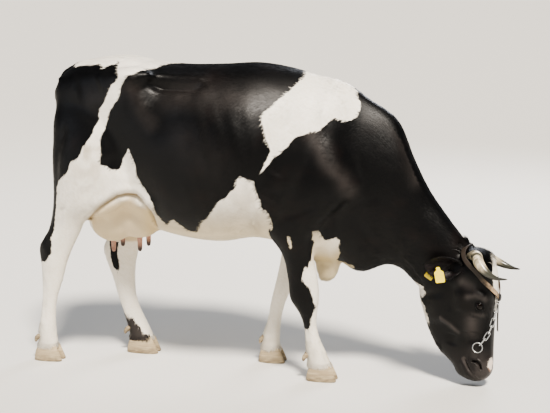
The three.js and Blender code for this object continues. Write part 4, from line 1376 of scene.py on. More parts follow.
    def build(self) -> bpy.types.Object:
        """Makes the skin's mesh.

        Returns:
            The skin, at the origin.
        """
        mesh = self.remeshed()
        self.smoothed(mesh, 10)
        points = self.points_of(mesh)
        soft = smooth_step(points[:, 2], 0.70, 0.86) * smooth_step(points[:, 0], 0.62, 0.5)
        self.smoothed(mesh, 60, soft)
        x, y, z = points.T
        rump = smooth_step(x, -0.86, -0.96) * smooth_step(z, 1.02, 1.16) * (z < 1.385)
        self.smoothed(mesh, 30, rump, 0.0)
        nook = mound(x, z, (0.46, 0.98), (0.08, 0.20))  # before the shoulder
        self.smoothed(mesh, 90, nook, 0.0)
        crest = mound(x, z, (0.52, 1.16), (0.12, 0.16))  # over the neck
        self.smoothed(mesh, 40, crest * (np.abs(y) > 0.05), 0.0)
        for crease in (UDDER_CREASE, LOIN_GROOVE):
            middles = self.middles(mesh)
            near, _ = distance_to_path(middles[:, [0, 2]], np.array(crease) * MM)
            self.refine(mesh, (near < self.crease_reach) & (np.abs(middles[:, 1]) > 0.12))
        middles = to_head(self.middles(mesh))
        self.refine(mesh, (middles[:, 0] > 0.70) & (middles[:, 2] < 0.66))
        for eyes, nostrils in self.face_reach:
            self.refine(mesh, self.near_face(self.middles(mesh), eyes, nostrils))
        points = to_head(self.points_of(mesh))
        self.smoothed(mesh, 8, smooth_step(points[:, 0], 0.66, 0.74))
        self.modelled(mesh)
        self.smoothed(mesh, 1)
        mesh.polygons.foreach_set("use_smooth", np.ones(len(mesh.polygons), bool))
        self.piece = bpy.data.objects.new("skin", mesh)
        bpy.context.scene.collection.objects.link(self.piece)
        log.info("skin: %d faces", len(mesh.polygons))
        return self.piece

    def dress(self, values: dict[str, Array]) -> None:
        """Gives the skin its markings and its material, and says which nodes it stands for.

        Args:
            values: The values that the coat's material reads, one array to a name.
        """
        mesh = self.piece.data
        hold(mesh, values)
        mesh.materials.clear()
        mesh.materials.append(self.finish.on_skin())
        legs = [f"{leg}_{part}" for leg in LEG_NAMES for part in ("upper", "lower")]
        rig.replaces(self.piece, "trunk", "neck", "head", "udder", "tail_dock", *legs)
        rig.ride(self.piece, "root")
        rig.slot(self.piece, "coat_black")


# ---- markings, in the side view of the part's frame, millimetres ----
WHITE_RIGHT = (
    (-945, 1520), (-915, 1440), (-845, 1450), (-770, 1455), (-730, 1440), (-675, 1465), (-645, 1405),
    (-700, 1335), (-735, 1270), (-755, 1205), (-780, 1140), (-825, 1075), (-845, 1025), (-885, 1005),
    (-925, 940), (-965, 920), (-990, 770), (-1000, 720), (-1035, 615), (-1035, 540), (-1075, 505),
    (-1300, 480), (-1300, -50), (60, -50), (60, 680), (70, 760), (50, 830), (35, 850), (10, 960), (-55, 985),
    (-75, 935), (-165, 850), (-285, 705), (-325, 700), (-395, 755), (-440, 725), (-485, 770), (-490, 830),
    (-560, 950), (-570, 1015), (-600, 1075), (-640, 1025), (-650, 980), (-685, 980), (-740, 1005),
    (-735, 1070), (-735, 1140), (-710, 1200), (-690, 1260), (-635, 1315), (-630, 1360), (-595, 1410),
    (-530, 1435), (-470, 1450), (-440, 1520),
)
SHOULDER_RIGHT = (
    (190, 1500), (345, 1500), (415, 1340), (435, 1280), (425, 1240), (405, 1220), (330, 1235), (275, 1180),
    (230, 1175), (175, 1150), (90, 1060), (35, 995), (70, 1100), (50, 1155), (30, 1220), (40, 1265), (100, 1325),
    (170, 1400),
)
FORELEG_RIGHT_WHITE = (
    (250, 725), (235, 600), (220, 555), (200, 560), (195, 495), (225, 460), (245, 395), (250, 355), (220, 255),
    (205, 245), (100, 245), (100, -50), (500, -50), (500, 740),
)
FORELEG_STREAKS = (
    (((142, 700), (146, 672), (150, 650)), 6), (((152, 606), (155, 598)), 5), (((236, 540), (238, 515)), 4),
)
BRISKET_WHITE = (
    (190, 700), (250, 725), (295, 675), (345, 690), (358, 675), (340, 565), (345, 510), (300, 430), (190, 430),
)
BRISKET_SPOT = ((345, 515), (410, 520), (415, 545), (350, 548))
THROAT_WHITE = (
    (640, 480), (690, 480), (715, 470), (735, 460), (740, 425), (725, 385), (745, 330), (765, 280), (700, 250),
    (640, 300),
)
WHITE_LEFT = (
    (-945, 1520), (-900, 1400), (-820, 1330), (-760, 1200), (-700, 1120), (-600, 1080), (-520, 1130),
    (-470, 1240), (-420, 1330), (-430, 1420), (-440, 1520),
)
BELLY_LEFT = (
    (-1300, -50), (60, -50), (60, 640), (-20, 720), (-150, 690), (-260, 760), (-380, 700), (-470, 800),
    (-560, 760), (-640, 880), (-760, 820), (-850, 640), (-1000, 600), (-1300, 560),
)
SHOULDER_LEFT = (
    (190, 1500), (345, 1500), (400, 1330), (360, 1200), (300, 1080), (220, 1040), (160, 1120), (120, 1260),
    (150, 1360),
)
FORELEG_LEFT_WHITE = ((-200, -50), (-200, 640), (0, 620), (60, 650), (120, 600), (260, 640), (300, -50))
HOCK_LEFT_BLACK = ((-850, 560), (-800, 560), (-805, 500), (-795, 440), (-800, 405), (-830, 430), (-850, 480))
FETLOCK_LEFT_BLACK = (
    (-775, 185), (-735, 175), (-705, 140), (-680, 105), (-640, 70), (-640, 50), (-745, 50), (-745, 110),
    (-770, 140),
)
# Painted highlights on the head's ridges and plates, laid on the black hair in grey-brown: path, half-width, how much.
PAINTED_FACE_HIGHLIGHTS = (
    (((952, 328), (950, 268)), 30, 1.0), (((800, 325), (849, 295), (888, 262)), 9, 0.9),
    (((965, 168), (985, 135)), 32, 0.5), (((935, 440), (970, 452), (1012, 434)), 14, 0.7),
    (((905, 505), (960, 482)), 20, 0.7), (((955, 362), (1000, 356)), 11, 0.6),
)
# Painted sheen on the black hair of the body, as grey bands where light shines on the coat: path in the side view,
# half-width, how much.
PAINTED_BODY_SHEEN = (
    (((180, 1270), (230, 1180), (305, 1055), (375, 975), (415, 910)), 30, 0.62),
    (((470, 1340), (585, 1215), (655, 1080), (705, 950)), 34, 0.50),
    (((-575, 1350), (-550, 1300), (-520, 1240), (-480, 1200)), 34, 0.45),
    (((-400, 1320), (-200, 1330), (60, 1320)), 62, 0.42),
    (((-640, 1340), (-780, 1300)), 46, 0.22),
    (((-330, 1130), (-180, 1050)), 90, 0.16),
)
BLAZE = ((590, 0), (575, 30), (540, 55), (500, 50), (460, 35), (430, 22), (340, 8), (320, 0))  # z, half-width


@dataclass(frozen=True)
class Markings:
    """What lies where on the skin: black and white, cream belly, stains, bare pink skin and dark muzzle, with painted
    shade in the udder's crease, behind the elbow and under the body, and painted highlights on the black hair.
    """

    blend: float = 35 * MM  # half-width of the band along the back where the two sides' outlines meet

    @staticmethod
    def inside(place: Array, outline: tuple) -> Array:
        """Signed distance inside an outline given in millimetres."""
        return inside_outline(place, np.array(outline) * MM)

    def white(self, points: Array) -> Array:
        """How far inside the white each point lies, in metres, negative in the black.

        Args:
            points: Places in the part's frame.

        Returns:
            One signed distance for each place.
        """
        side_view = points[:, [0, 2]]
        x, y, z = points.T
        right = np.maximum(self.inside(side_view, WHITE_RIGHT), self.inside(side_view, SHOULDER_RIGHT))
        near_leg = self.inside(side_view, FORELEG_RIGHT_WHITE)
        for streak, width in FORELEG_STREAKS:
            near_leg = np.maximum(near_leg, width * MM - distance_to_path(side_view, np.array(streak) * MM)[0])
        on_leg = (z < 0.73) & (y < -0.06) & (x > 0.05) & ((x < 0.285) | ((z < 0.5) & (x < 0.45)))
        right = np.where(on_leg, near_leg, right)
        left = np.maximum(self.inside(side_view, WHITE_LEFT), self.inside(side_view, BELLY_LEFT))
        left = np.maximum(left, self.inside(side_view, SHOULDER_LEFT))
        on_leg = (z < 0.70) & (x > np.where(z > 0.6, -0.03, -0.2)) & (x < 0.3)
        left = np.where(on_leg, self.inside(side_view, FORELEG_LEFT_WHITE), left)
        dark = np.maximum(self.inside(side_view, HOCK_LEFT_BLACK), self.inside(side_view, FETLOCK_LEFT_BLACK))
        speckled = 0.016 * value_noise(points, 0.013, 41) + 0.010 * value_noise(points, 0.006, 43)
        speckled *= smooth_step(z, 0.22, 0.18)
        left = np.where(y > 0.05, np.minimum(left, -dark + speckled - 0.004 * (z < 0.2)), left)
        share = smooth_step(y, -self.blend, self.blend)
        body = right * (1 - share) + left * share
        brisket = np.maximum(self.inside(side_view, BRISKET_WHITE), self.inside(side_view, BRISKET_SPOT))
        chest = (np.abs(y) < 0.085 + 0.1 * (x > 0.272)) & (x > 0.15) & (z < 0.75) & (z > 0.40)
        body = np.where(chest, brisket, body)
        body = np.maximum(body, self.inside(side_view, THROAT_WHITE))
        edge = 7 * MM * value_noise(points, 0.030, 31) + 4 * MM * value_noise(points, 0.012, 37)
        return np.where(self.on_face(points), self.blaze(points), body) + edge

    @staticmethod
    def on_face(points: Array) -> Array:
        """Whether points belong to the head."""
        head = to_head(points)
        return (head[:, 0] > 0.80) & (head[:, 2] < 0.66)

    @staticmethod
    def blaze(points: Array) -> Array:
        """White down the forehead, tapering to the nose, and a pale patch on the upper lip.

        Args:
            points: Places in the part's frame.

        Returns:
            Signed distance inside the white.
        """
        head = to_head(points)
        heights, halves = np.array(BLAZE, float).T * MM
        half = np.interp(head[:, 2], heights[::-1], halves[::-1], left=-0.02, right=-0.02)
        front = head[:, 0] - 0.985
        stripe = np.minimum(half - np.abs(head[:, 1]), front + 0.02)
        return np.maximum(stripe, Markings.lip(head))

    @staticmethod
    def lip(head: Array) -> Array:
        """Signed distance inside the pale patch before the right nostril, for places in the head's own frame."""
        patch = 0.021 - np.hypot(head[:, 1] + 0.022, (head[:, 2] - 0.108) * 0.7)
        return patch - 3 * np.maximum(0, 1.005 - head[:, 0])

    def udder(self, points: Array) -> Array:
        """How surely each point belongs to the udder's bare skin.

        Args:
            points: Places in the part's frame.

        Returns:
            Shares from 0 to 1.
        """
        below = UDDER_CREASE + ((-520, 560), (-840, 560))
        ball = np.linalg.norm((points - [-0.70, 0, 0.735]) / [0.225, 0.19, 0.16], axis=1)
        return smooth_step(self.inside(points[:, [0, 2]], below), 0, 0.008) * smooth_step(ball, 1.5, 1.3)

    def values(self, points: Array, normals: Array) -> dict[str, Array]:
        """Every value that the coat's material reads.

        Args:
            points: Places on the skin.
            normals: The skin's normals there.

        Returns:
            An array from 0 to 1 under each name, and the signed distance under "white".
        """
        x, y, z = points.T
        white = self.white(points)
        head = to_head(points)
        cloud = value_noise(points, 0.16, 5)
        fine = value_noise(points, 0.04, 9)
        under = smooth_step(z, 0.86, 0.70) * smooth_step(x, -0.62, -0.45) * smooth_step(x, 0.42, 0.2)
        under = under * smooth_step(z, 0.52, 0.62)
        cream = 0.10 * smooth_step(z, 1.1, 0.7) * (0.6 + 0.4 * cloud) + 0.6 * under
        stain = 0.25 * smooth_step(z, 0.25, 0.05) * (0.5 + 0.5 * fine)
        rump = mound(x, z, (-0.80, 1.10), (0.09, 0.16))
        stain = stain + 0.55 * rump * smooth_step(fine + cloud, 0.0, 0.9)
        # Painted shade on surfaces that face down, above half a metre.
        stain = stain + 0.35 * smooth_step(normals[:, 2], -0.2, -0.8) * (z > 0.5) * (0.5 + 0.5 * cloud)
        bare = self.udder(points)
        pink = 0.09 * bare
        cream = cream + 0.75 * bare
        # Painted shade: a dark line along the udder's crease.
        crease, _ = distance_to_path(points[:, [0, 2]], np.array(UDDER_CREASE) * MM)
        stain = stain + 0.85 * np.exp(-((crease / 0.007) ** 2)) * (np.abs(y) > 0.1)
        # Painted shade behind the elbow, where the foreleg meets the body.
        stain = stain + 0.30 * mound(x, z, (-0.02, 0.84), (0.09, 0.10)) * (0.6 + 0.4 * fine)
        chest = smooth_step(z, 0.74, 0.66) * smooth_step(np.abs(y), 0.14, 0.07)
        chest *= smooth_step(x, 0.14, 0.18) * smooth_step(x, 0.44, 0.40)
        cream = cream + 0.75 * chest
        muzzle = smooth_step(head[:, 2] + 0.35 * (1.0 - head[:, 0]), 0.155, 0.115) * (head[:, 0] > 0.9)
        skin_of_nose = 0.6 * muzzle * smooth_step(head[:, 0], 0.955, 0.985)
        lips, _ = distance_to_path(head[:, [0, 2]], np.array([(1000, 22), (945, 88), (914, 136)]) * MM)
        lip = smooth_step(lips, 0.014, 0.006) * (head[:, 0] > 0.85) * (head[:, 2] < 0.16)
        bare_patch = smooth_step(self.lip(head), -0.002, 0.002)
        slate = np.maximum(skin_of_nose, 0.8 * lip) * self.on_face(points) * (1 - bare_patch)
        # Painted highlights on the face, in the slate grey.
        for path, width, grey in PAINTED_FACE_HIGHLIGHTS:
            near, _ = distance_to_path(head[:, [0, 2]], np.array(path) * MM)
            worn = grey * np.exp(-((near / (width * MM)) ** 2)) * (0.75 + 0.25 * fine) * self.on_face(points)
            slate = np.maximum(slate, worn * (np.abs(head[:, 1]) > 0.03))
        # Painted sheen on the body's black hair, in the slate grey.
        for path, width, grey in PAINTED_BODY_SHEEN:
            near, _ = distance_to_path(points[:, [0, 2]], np.array(path) * MM)
            worn = grey * np.exp(-((near / (width * MM)) ** 2)) * (0.8 + 0.3 * fine) * (np.abs(y) > 0.05)
            slate = np.maximum(slate, worn * (white < 0) * ~self.on_face(points))
        roan = self.inside(points[:, [0, 2]], FETLOCK_LEFT_BLACK) + 0.01
        slate = np.maximum(slate, 0.75 * smooth_step(roan, 0, 0.01) * (y > 0.05) * (z < 0.2))
        nose_hair = 0.2 * smooth_step(head[:, 2], 0.24, 0.12) * self.on_face(points)
        leg = smooth_step(z, 0.80, 0.66) * smooth_step(np.abs(y), 0.05, 0.08)
        return {
            "white": white,
            "cream": np.clip(cream, 0, 1),
            "stain": np.clip(stain, 0, 1),
            "pink": np.clip(pink + 0.3 * bare_patch * self.on_face(points), 0, 1),
            "slate": np.clip(slate + nose_hair * (1 - slate) * (1 - bare_patch), 0, 1),
            "nose": np.clip(skin_of_nose, 0, 1),
            "leg": leg,
        }


# ---- horn, hoof, eye, ear, udder and tail ----
@dataclass
class Horns:
    """Two thin horns that sweep out, forward and in, each along its own smooth curve."""

    finish: HornFinish
    around: int = 32
    steps: int = 70
    # from the root inside the skull to the tip: x, sideways, z, radius in the unturned head, millimetres
    stops: dict[Side, tuple] = field(
        default_factory=lambda: {
            Side.RIGHT: (
                (928, 46, 610, 24), (962, 86, 628, 25), (981, 112, 605, 24), (1000, 126, 585, 21.5),
                (1021, 133, 568, 18), (1046, 132, 552, 12.5), (1075, 124, 542, 7.5), (1112, 108, 539, 3),
            ),
            Side.LEFT: (
                (935, 44, 590, 24), (962, 84, 594, 24), (982, 112, 578, 22), (1004, 128, 563, 20),
                (1036, 134, 549, 16.5), (1070, 130, 540, 11), (1098, 120, 538, 6), (1121, 106, 540, 3),
            ),
        }
    )

    def build(self) -> None:
        """Makes both horns: circles with faint growth rings near the root, carried along the curve."""
        material = self.finish.made()
        for side in Side:
            curve = smooth_path(np.array(self.stops[side], float) * MM, self.steps)
            share = np.linspace(0, 1, self.steps)
            rings = 0.3 * MM * np.sin(share * 80 + 2 * np.sin(share * 23)) * smooth_step(share, 0.62, 0.3)
            path = curve[:, :3] * [1, side.value, 1]
            round_tip = np.sqrt(1 - smooth_step(share, 0.955, 1.0) ** 2 * 0.98)
            horn = tube(path, (curve[:, 3] + rings) * round_tip, self.around)
            horn.values["along"] = np.concatenate([np.repeat(share, self.around), [0, 1]])
            drop = (np.repeat(path[:, 2], self.around) - horn.points[:-2, 2]) / np.repeat(curve[:, 3], self.around)
            # Painted shade: how far below the horn's middle line each point lies, which the horn's material darkens.
            horn.values["under"] = np.concatenate([smooth_step(drop, 0.0, 0.9), [0, 0]])
            horn.points = from_head(horn.points)
            name = f"horn_{side.name.lower()}"
            dressed(horn, f"{name}_keratin", material, "horn", name)
        log.info("horns: 2")


@dataclass
class Hooves:
    """Two claws and two dewclaws on each foot."""

    finish: HoofFinish
    spread: float = 23.5 * MM
    half: float = 21.5 * MM
    toe: float = 24 * MM
    heel: float = 4 * MM
    dewclaw_spread: float = 21 * MM
    dewclaw_height: float = 112 * MM
    # from inside the leg to the tip: x, sideways and z from the fetlock's rear, then the radius, millimetres
    dewclaw: tuple = ((22, 0, 14, 9), (8, 0, 9, 11.5), (-3, 0, -2, 10.5), (-7, 0, -16, 6.5), (-6, 0, -21, 2))

    def claw(self, coronet: list[float], offset: int) -> Surface:
        """One claw: a short loft from the flat sole to a rim hidden in the coronet's hair.

        Args:
            coronet: The leg's lowest row.
            offset: 1 for the outer claw and -1 for the inner.

        Returns:
            The claw.
        """
        front_x, front_z, rear_x, rear_z, y = coronet[:5]
        mid = y + offset * self.spread / MM
        toe, heel, half = self.toe / MM, self.heel / MM, self.half / MM
        rows = [
            [front_x + toe - 7, 0, rear_x - heel + 5, 0, mid, half - 3, 0.45, 2.2, 2.6],
            [front_x + toe - 2, 1.5, rear_x - heel + 2, 1.5, mid, half - 1, 0.45, 2.2, 2.6],
            [front_x + toe, 7, rear_x - heel, 7, mid, half, 0.45, 2.2, 2.6],
            [front_x + toe * 0.45, 38, rear_x - 2, 30, mid, half - 1, 0.45, 2.2, 2.6],
            [front_x - 5, front_z, rear_x + 6, rear_z, mid, half - 3.5, 0.45, 2.2, 2.6],
            [front_x - 15, front_z + 9, rear_x + 15, rear_z + 9, mid, half - 8, 0.45, 2.2, 2.6],
        ]
        fine = np.array(rows, float)
        fine[:, :6] *= MM
        place = np.linspace(0, len(rows) - 1, 46)
        fine = np.stack([np.interp(place, np.arange(len(rows)), column) for column in fine.T], 1)
        rings = section_rings(fine, 1, 56, 0)
        wave = 0.25 * MM * np.sin(rings[..., 2] / (3.1 * MM)) * (rings[..., 2] > 8 * MM)
        centre = rings.mean(1, keepdims=True)
        return Surface.of_grid(rings + unit(rings - centre) * wave[..., None]).outward()

    def build(self) -> None:
        """Makes every claw and dewclaw."""
        material = self.finish.made()
        tables = (FORELEG_RIGHT, FORELEG_LEFT, HIND_LEG_RIGHT, HIND_LEG_LEFT)
        for leg, table in zip(LEG_NAMES, tables):
            side = Side.RIGHT if leg.endswith("right") else Side.LEFT
            fetlock = table[-3]
            for name, offset in (("outer", 1), ("inner", -1)):
                claw = self.claw(table[-1], offset)
                rear, y = fetlock[2] * MM + 2 * MM, fetlock[4] * MM + offset * self.dewclaw_spread
                stops = np.array(self.dewclaw, float) * MM + [rear, y, self.dewclaw_height, 0]
                curve = smooth_path(stops, 20)
                dewclaw = tube(curve[:, :3], curve[:, 3], 20, up=(0, 1, 0))
                for kind, surface, least in (("claw", claw, 0.0), ("dewclaw", dewclaw, 0.9)):
                    surface.points = surface.points * [1, side.value, 1] + [BODY_SHIFT, 0, 0]
                    surface.outward()
                    surface.values["earth"] = np.maximum(smooth_step(surface.points[:, 2], 0.055, 0.0), least)
                    node = f"{kind}_{leg}_{name}"
                    dressed(surface, f"{node}_horn", material, "claw", node)
        log.info("hooves: 16")


@dataclass
class Eyes:
    """Two eyeballs with a faint bulge over the iris, set under the lids."""

    finish: EyeFinish
    size: EyeSize = EyeSize()
    bulge: float = 1.4 * MM
    iris: float = 0.62  # the iris's angle from the axis, in radians
    pupil: tuple[float, float] = (0.36, 0.20)  # the pupil's half-length and half-height, likewise

    def build(self) -> None:
        """Makes both eyes: a fine ball whose front stands out by a smooth ramp of the angle from its axis."""
        material = self.finish.made()
        for side in Side:
            centre, out, long, across = self.size.axes(side)
            eye = ball(np.zeros(3), np.full(3, self.size.radius), 72, 48)
            way = unit(eye.points)
            off = np.arccos(np.clip(way @ out, -1, 1))
            eye.points = way * (self.size.radius + self.bulge * smooth_step(off, 0.75, 0.2))[:, None]
            eye.values["iris"] = off / self.iris
            level = square_to(np.array([1.0, 0.0, 0.35]), out)
            upright = np.cross(out, level)
            oval = np.hypot(way @ level / self.pupil[0], way @ upright / self.pupil[1])
            eye.values["pupil"] = oval + 3 * (way @ out < 0)  # none at the back
            eye.points = from_head(eye.points + centre)
            name = f"eye_{side.name.lower()}"
            dressed(eye.outward(), f"{name}_ball", material, "eye", name)
        log.info("eyes: 2")


@dataclass(frozen=True)
class EarShape:
    """An ear: a leaf whose section is an arc, tight at the root and open towards the tip. Millimetres."""

    root: tuple[float, float, float] = (872, 66, 570)
    along: tuple[float, float, float] = (-0.68, 0.72, 0.08)
    hollow: tuple[float, float, float] = (0.72, 0.68, -0.12)
    length: float = 168
    # share of the length, half-width, how far round it curls in degrees, thickness
    rows: tuple = (
        (0, 26, 150, 16), (0.15, 36, 125, 11), (0.38, 52, 88, 8), (0.62, 54, 64, 7), (0.82, 42, 50, 6),
        (0.95, 22, 40, 5), (1, 7, 30, 4),
    )

    def frame(self, side: Side) -> tuple[Array, Array, Array]:
        """The directions of an ear.

        Args:
            side: Which ear.

        Returns:
            Along it, the way its hollow faces, and across its width.
        """
        mirror = np.array([1, side.value, 1])
        along = unit(np.array(self.along) * mirror)
        width = unit(np.cross(np.array(self.hollow) * mirror, along))
        return along, unit(np.cross(along, width)), width

    def place(self, side: Side, share: Array | list, lift: Array | list) -> Array:
        """Places on an ear at shares of its length, lifted from its middle towards the hollow.

        Args:
            side: Which ear.
            share: Shares of the length.
            lift: How far each place is lifted, in millimetres.

        Returns:
            The places, in metres.
        """
        along, hollow, _ = self.frame(side)
        root = np.array(self.root) * [1, side.value, 1]
        return (root + np.outer(share, along * self.length) + np.outer(lift, hollow)) * MM


@dataclass
class Ears:
    """Both ears, with short dark hair outside and thin grey-pink skin in the hollow."""

    finish: CoatFinish
    shape: EarShape = EarShape()
    skin_pink: str = "#2c2123"
    skin_dark: str = "#0d0b0d"
    strand_mm: tuple = (14, 4, 4)  # hair is too fine to show, so strands are drawn as coarse as small locks
    steps: int = 44
    across: int = 26
    leaves: dict[Side, Surface] = field(default_factory=dict)

    def leaf(self, side: Side) -> Surface:
        """One ear: rings that run over the back and return over the inside, each an arc of the row's curl.

        Args:
            side: Which ear.

        Returns:
            The ear's surface.
        """
        rows = smooth_path(np.array(self.shape.rows, float), self.steps)
        share, half, curl = rows[:, 0], rows[:, 1], np.radians(rows[:, 2])
        thick = np.maximum(rows[:, 3] - 2, 1.5)
        bend = (half - 2) / np.sin(np.minimum(curl, math.pi / 2))
        turn = curl[:, None] * np.linspace(-1, 1, self.across)[None]
        _, hollow, width = self.shape.frame(side)
        base = self.shape.place(side, share, np.zeros(len(share)))[:, None]

        def layer(radius: Array) -> Array:
            """One layer of the ear: arcs of a radius about each row's centre of bend."""
            lift = bend[:, None] - radius * np.cos(turn) - 6
            return base + (lift[..., None] * hollow + (radius * np.sin(turn))[..., None] * width) * MM

        across = np.abs(np.linspace(-1, 1, self.across))
        edge = 1 - 0.75 * across**6
        back = layer(bend[:, None] + thick[:, None] / 2 * edge)
        ridges = 1.2 * np.sin(turn * 9) * np.exp(-((turn / 0.9) ** 2))
        inside = layer(bend[:, None] - (thick[:, None] / 2 + ridges) * edge)[:, ::-1]
        leaf = Surface.of_grid(np.concatenate([back, inside], 1))
        inner = np.concatenate([np.zeros(self.across), 1 - across**5])
        leaf.values["inner"] = np.concatenate([np.tile(inner, self.steps), [0, 0]])
        rim = np.tile(across**6, 2)
        leaf.values["rim"] = np.concatenate([np.tile(rim, self.steps), [0, 1]])
        leaf.points = from_head(leaf.points)
        self.leaves[side] = leaf.outward()
        return self.leaves[side]

    def material(self) -> bpy.types.Material:
        """The ear's material: black hair that thins to grey-pink skin inside."""
        paint = Paint("ear_hair_and_skin")
        strand = paint.grain(self.strand_mm, 3.0, (0, 0, -45))
        bare = paint.layers(self.skin_pink, ((strand, 0.42, 0.62), self.skin_dark))
        body = paint.layers(self.finish.black, ("inner", bare))
        return paint.finished(
            body, ((strand, 1.2),), Roughness=0.5, IOR=1.5, Sheen_Weight=0.15, Sheen_Roughness=0.4
        )

    def build(self) -> None:
        """Makes both ears."""
        material = self.material()
        for side in Side:
            name = f"ear_{side.name.lower()}"
            dressed(self.leaf(side), f"{name}_leaf", material, "coat_black", name)
        log.info("ears: 2")


@dataclass(frozen=True)
class TeatFinish:
    """Bare teat skin: soft, pink, finely wrinkled and darker at the tip."""

    pink: str = "#c29a86"
    crease: str = "#a17a69"
    dark: str = "#3b2c2a"
    wrinkle_mm: tuple = (18, 18, 2.2)  # real wrinkles are about 1 mm apart, too fine to show, so they are coarser

    def made(self) -> bpy.types.Material:
        """The teat's material."""
        paint = Paint("bare_teat_skin")
        wrinkle = paint.grain(self.wrinkle_mm, 3.0)
        body = paint.layers(self.pink, ((wrinkle, 0.35, 0.7), self.crease), ("dark", self.dark))
        return paint.finished(
            body, ((wrinkle, 0.9),), Roughness=0.5, IOR=1.45, Subsurface_Weight=0.15, Subsurface_Scale=0.006
        )


@dataclass
class Teats:
    """Four teats that hang from the udder's quarters."""

    finish: TeatFinish
    length: float = 90 * MM
    radius: float = 12.5 * MM
    around: int = 28
    # heights over the tip, and the share of the radius at each
    profile: tuple = ((0, 0.002, 0.006, 0.018, 0.045, 0.09, 0.122), (0.2, 0.5, 0.72, 0.88, 0.96, 1.1, 1.35))
    # x, sideways and tip height of the rear and fore teats
    places: dict[str, tuple] = field(default_factory=lambda: {"rear": (-786, 62, 549), "fore": (-652, 62, 557)})

    def build(self) -> None:
        """Makes the teats: circles down a line, a little wider above and rounded off at the tip."""
        material = self.finish.made()
        for end, (x, y, tip) in self.places.items():
            for side in Side:
                share = np.linspace(0, 1, 40)
                height = tip * MM + self.length * 1.35 * (1 - share)
                width = np.interp(height - tip * MM, *self.profile)
                path = np.stack([np.full(40, x * MM + BODY_SHIFT), np.full(40, y * MM * side.value), height], 1)
                teat = tube(path, self.radius * width, self.around, up=(1, 0, 0))
                darkest = 0.95 if end == "fore" or side is Side.LEFT else 0.35
                above = teat.points[:, 2] - tip * MM
                teat.values["dark"] = darkest * smooth_step(above, 0.045, 0.012)
                name = f"teat_{end}_{side.name.lower()}"
                dressed(teat, f"{name}_skin", material, "udder_skin", name)
        log.info("teats: 4")


# ---- what the cow wears ----
@dataclass
class Strap:
    """A leather strap round the horns and the brow, with a black knob and a dark tail down the nose."""

    leather: LeatherFinish
    dark: LeatherFinish
    half: float = 10.5 * MM
    thick: float = 5 * MM
    steps: int = 260
    around: int = 32
    # Painted shade: the band is painted dark over its upper part, between these heights.
    worn: tuple[float, float] = (470, 540)  # heights in millimetres over which the band darkens
    knob_at: tuple[float, float, float] = (1056, 0, 426)
    knob_radius: float = 17 * MM
    knob_height: float = 14 * MM
    # the tail in millimetres: x and z of its top, length, half-width, half-thickness, slant of its end
    tail_top: tuple[float, float] = (1051, 404)
    tail_length: float = 142
    tail_half: float = 11
    tail_thick: float = 2.2
    tail_slant: float = 7
    # the strap's way round the head on one side: x, sideways, z, then the way it faces
    path: tuple = (
        (1052, 0, 428, 1, 0, 0.1), (1047, 38, 453, 0.9, 0.4, 0.1), (1028, 77, 488, 0.55, 0.83, 0.1),
        (1003, 98, 518, 0.25, 0.97, 0.1), (982, 105, 545, 0.1, 1, 0.05), (958, 109, 570, 0, 1, 0.05),
        (932, 107, 593, 0, 0.98, 0.2), (911, 97, 617, -0.1, 0.9, 0.45), (901, 73, 639, -0.1, 0.6, 0.8),
        (903, 38, 654, -0.1, 0.25, 1), (905, 0, 658, -0.1, 0, 1),
    )

    def band(self) -> Surface:
        """The band: a rounded flat section carried round the closed path, one face towards the skin.

        Returns:
            The band.
        """
        one = np.array(self.path, float)
        other = one[1:-1][::-1] * [1, -1, 1, 1, -1, 1]
        loop = smooth_path(np.vstack([one, other]), self.steps, closed=True)
        middle, out = loop[:, :3] * MM, unit(loop[:, 3:])
        ahead = unit(np.roll(middle, -1, 0) - np.roll(middle, 1, 0))
        across = unit(np.cross(out, ahead))
        angle = round_angles(self.around)
        u, v = rounded(np.cos(angle), 0.25), rounded(np.sin(angle), 0.5)
        rings = middle[:, None] + across[:, None] * (u * self.half)[None, :, None]
        rings = rings + out[:, None] * (v * self.thick / 2)[None, :, None]
        band = Surface.of_loop(from_head(rings))
        # Painted shade on the band's upper part, carried by the edge value with the leather's dark edges.
        worn = np.repeat(smooth_step(loop[:, 2], *self.worn), self.around)
        band.values["edge"] = np.maximum(np.tile(smooth_step(np.abs(u), 0.86, 1.0), self.steps), worn)
        return band.outward()

    def knob(self) -> Surface:
        """The knob: a short round post with a domed, rounded front.

        Returns:
            The knob.
        """
        share = np.linspace(0, 1, 20)
        depth = np.concatenate([[-0.5], -0.5 + share])
        dome = np.clip((share - 0.55) / 0.45, 0, 1) ** 2.2
        width = np.concatenate([[0.96], np.sqrt(1 - dome * 0.97)])
        path = np.stack([depth * self.knob_height, 0 * depth, 0 * depth], 1) + np.array(self.knob_at) * MM
        knob = tube(path, self.knob_radius * width, 40)
        knob.points = from_head(knob.points)
        knob.values["edge"] = np.zeros(len(knob.points))
        return knob.outward()

    def tail(self) -> Surface:
        """The strap's tail: a flat tongue down the nose, cut off on a slant at its end.

        Returns:
            The tongue.
        """
        height = np.linspace(0, 1, 60)[:, None]
        angle = round_angles(28)[None]
        u, v = rounded(np.cos(angle), 0.3), rounded(np.sin(angle), 0.5)
        z = self.tail_top[1] - (self.tail_length - self.tail_slant * (1 - u)) * height
        x = self.tail_top[0] - 1.5 * np.sin(height * math.pi) + v * self.tail_thick
        rings = np.stack([x, u * self.tail_half + 0 * height, z + 0 * v], -1) * MM
        tongue = Surface.of_grid(from_head(rings)).outward()
        tongue.values["edge"] = np.concatenate([np.tile(smooth_step(np.abs(u[0]), 0.8, 1.0), 60), [0, 0]])
        return tongue

    def build(self) -> None:
        """Makes the strap, the knob and the tail."""
        tan, black = self.leather.made(), self.dark.made()
        for node, surface, material, slot in (
            ("horn_strap", self.band(), tan, "strap_leather"),
            ("strap_knob", self.knob(), black, "dark_leather"),
            ("strap_tail", self.tail(), black, "dark_leather"),
        ):
            dressed(surface, f"{node}_leather", material, slot, node)
        log.info("strap: 3")


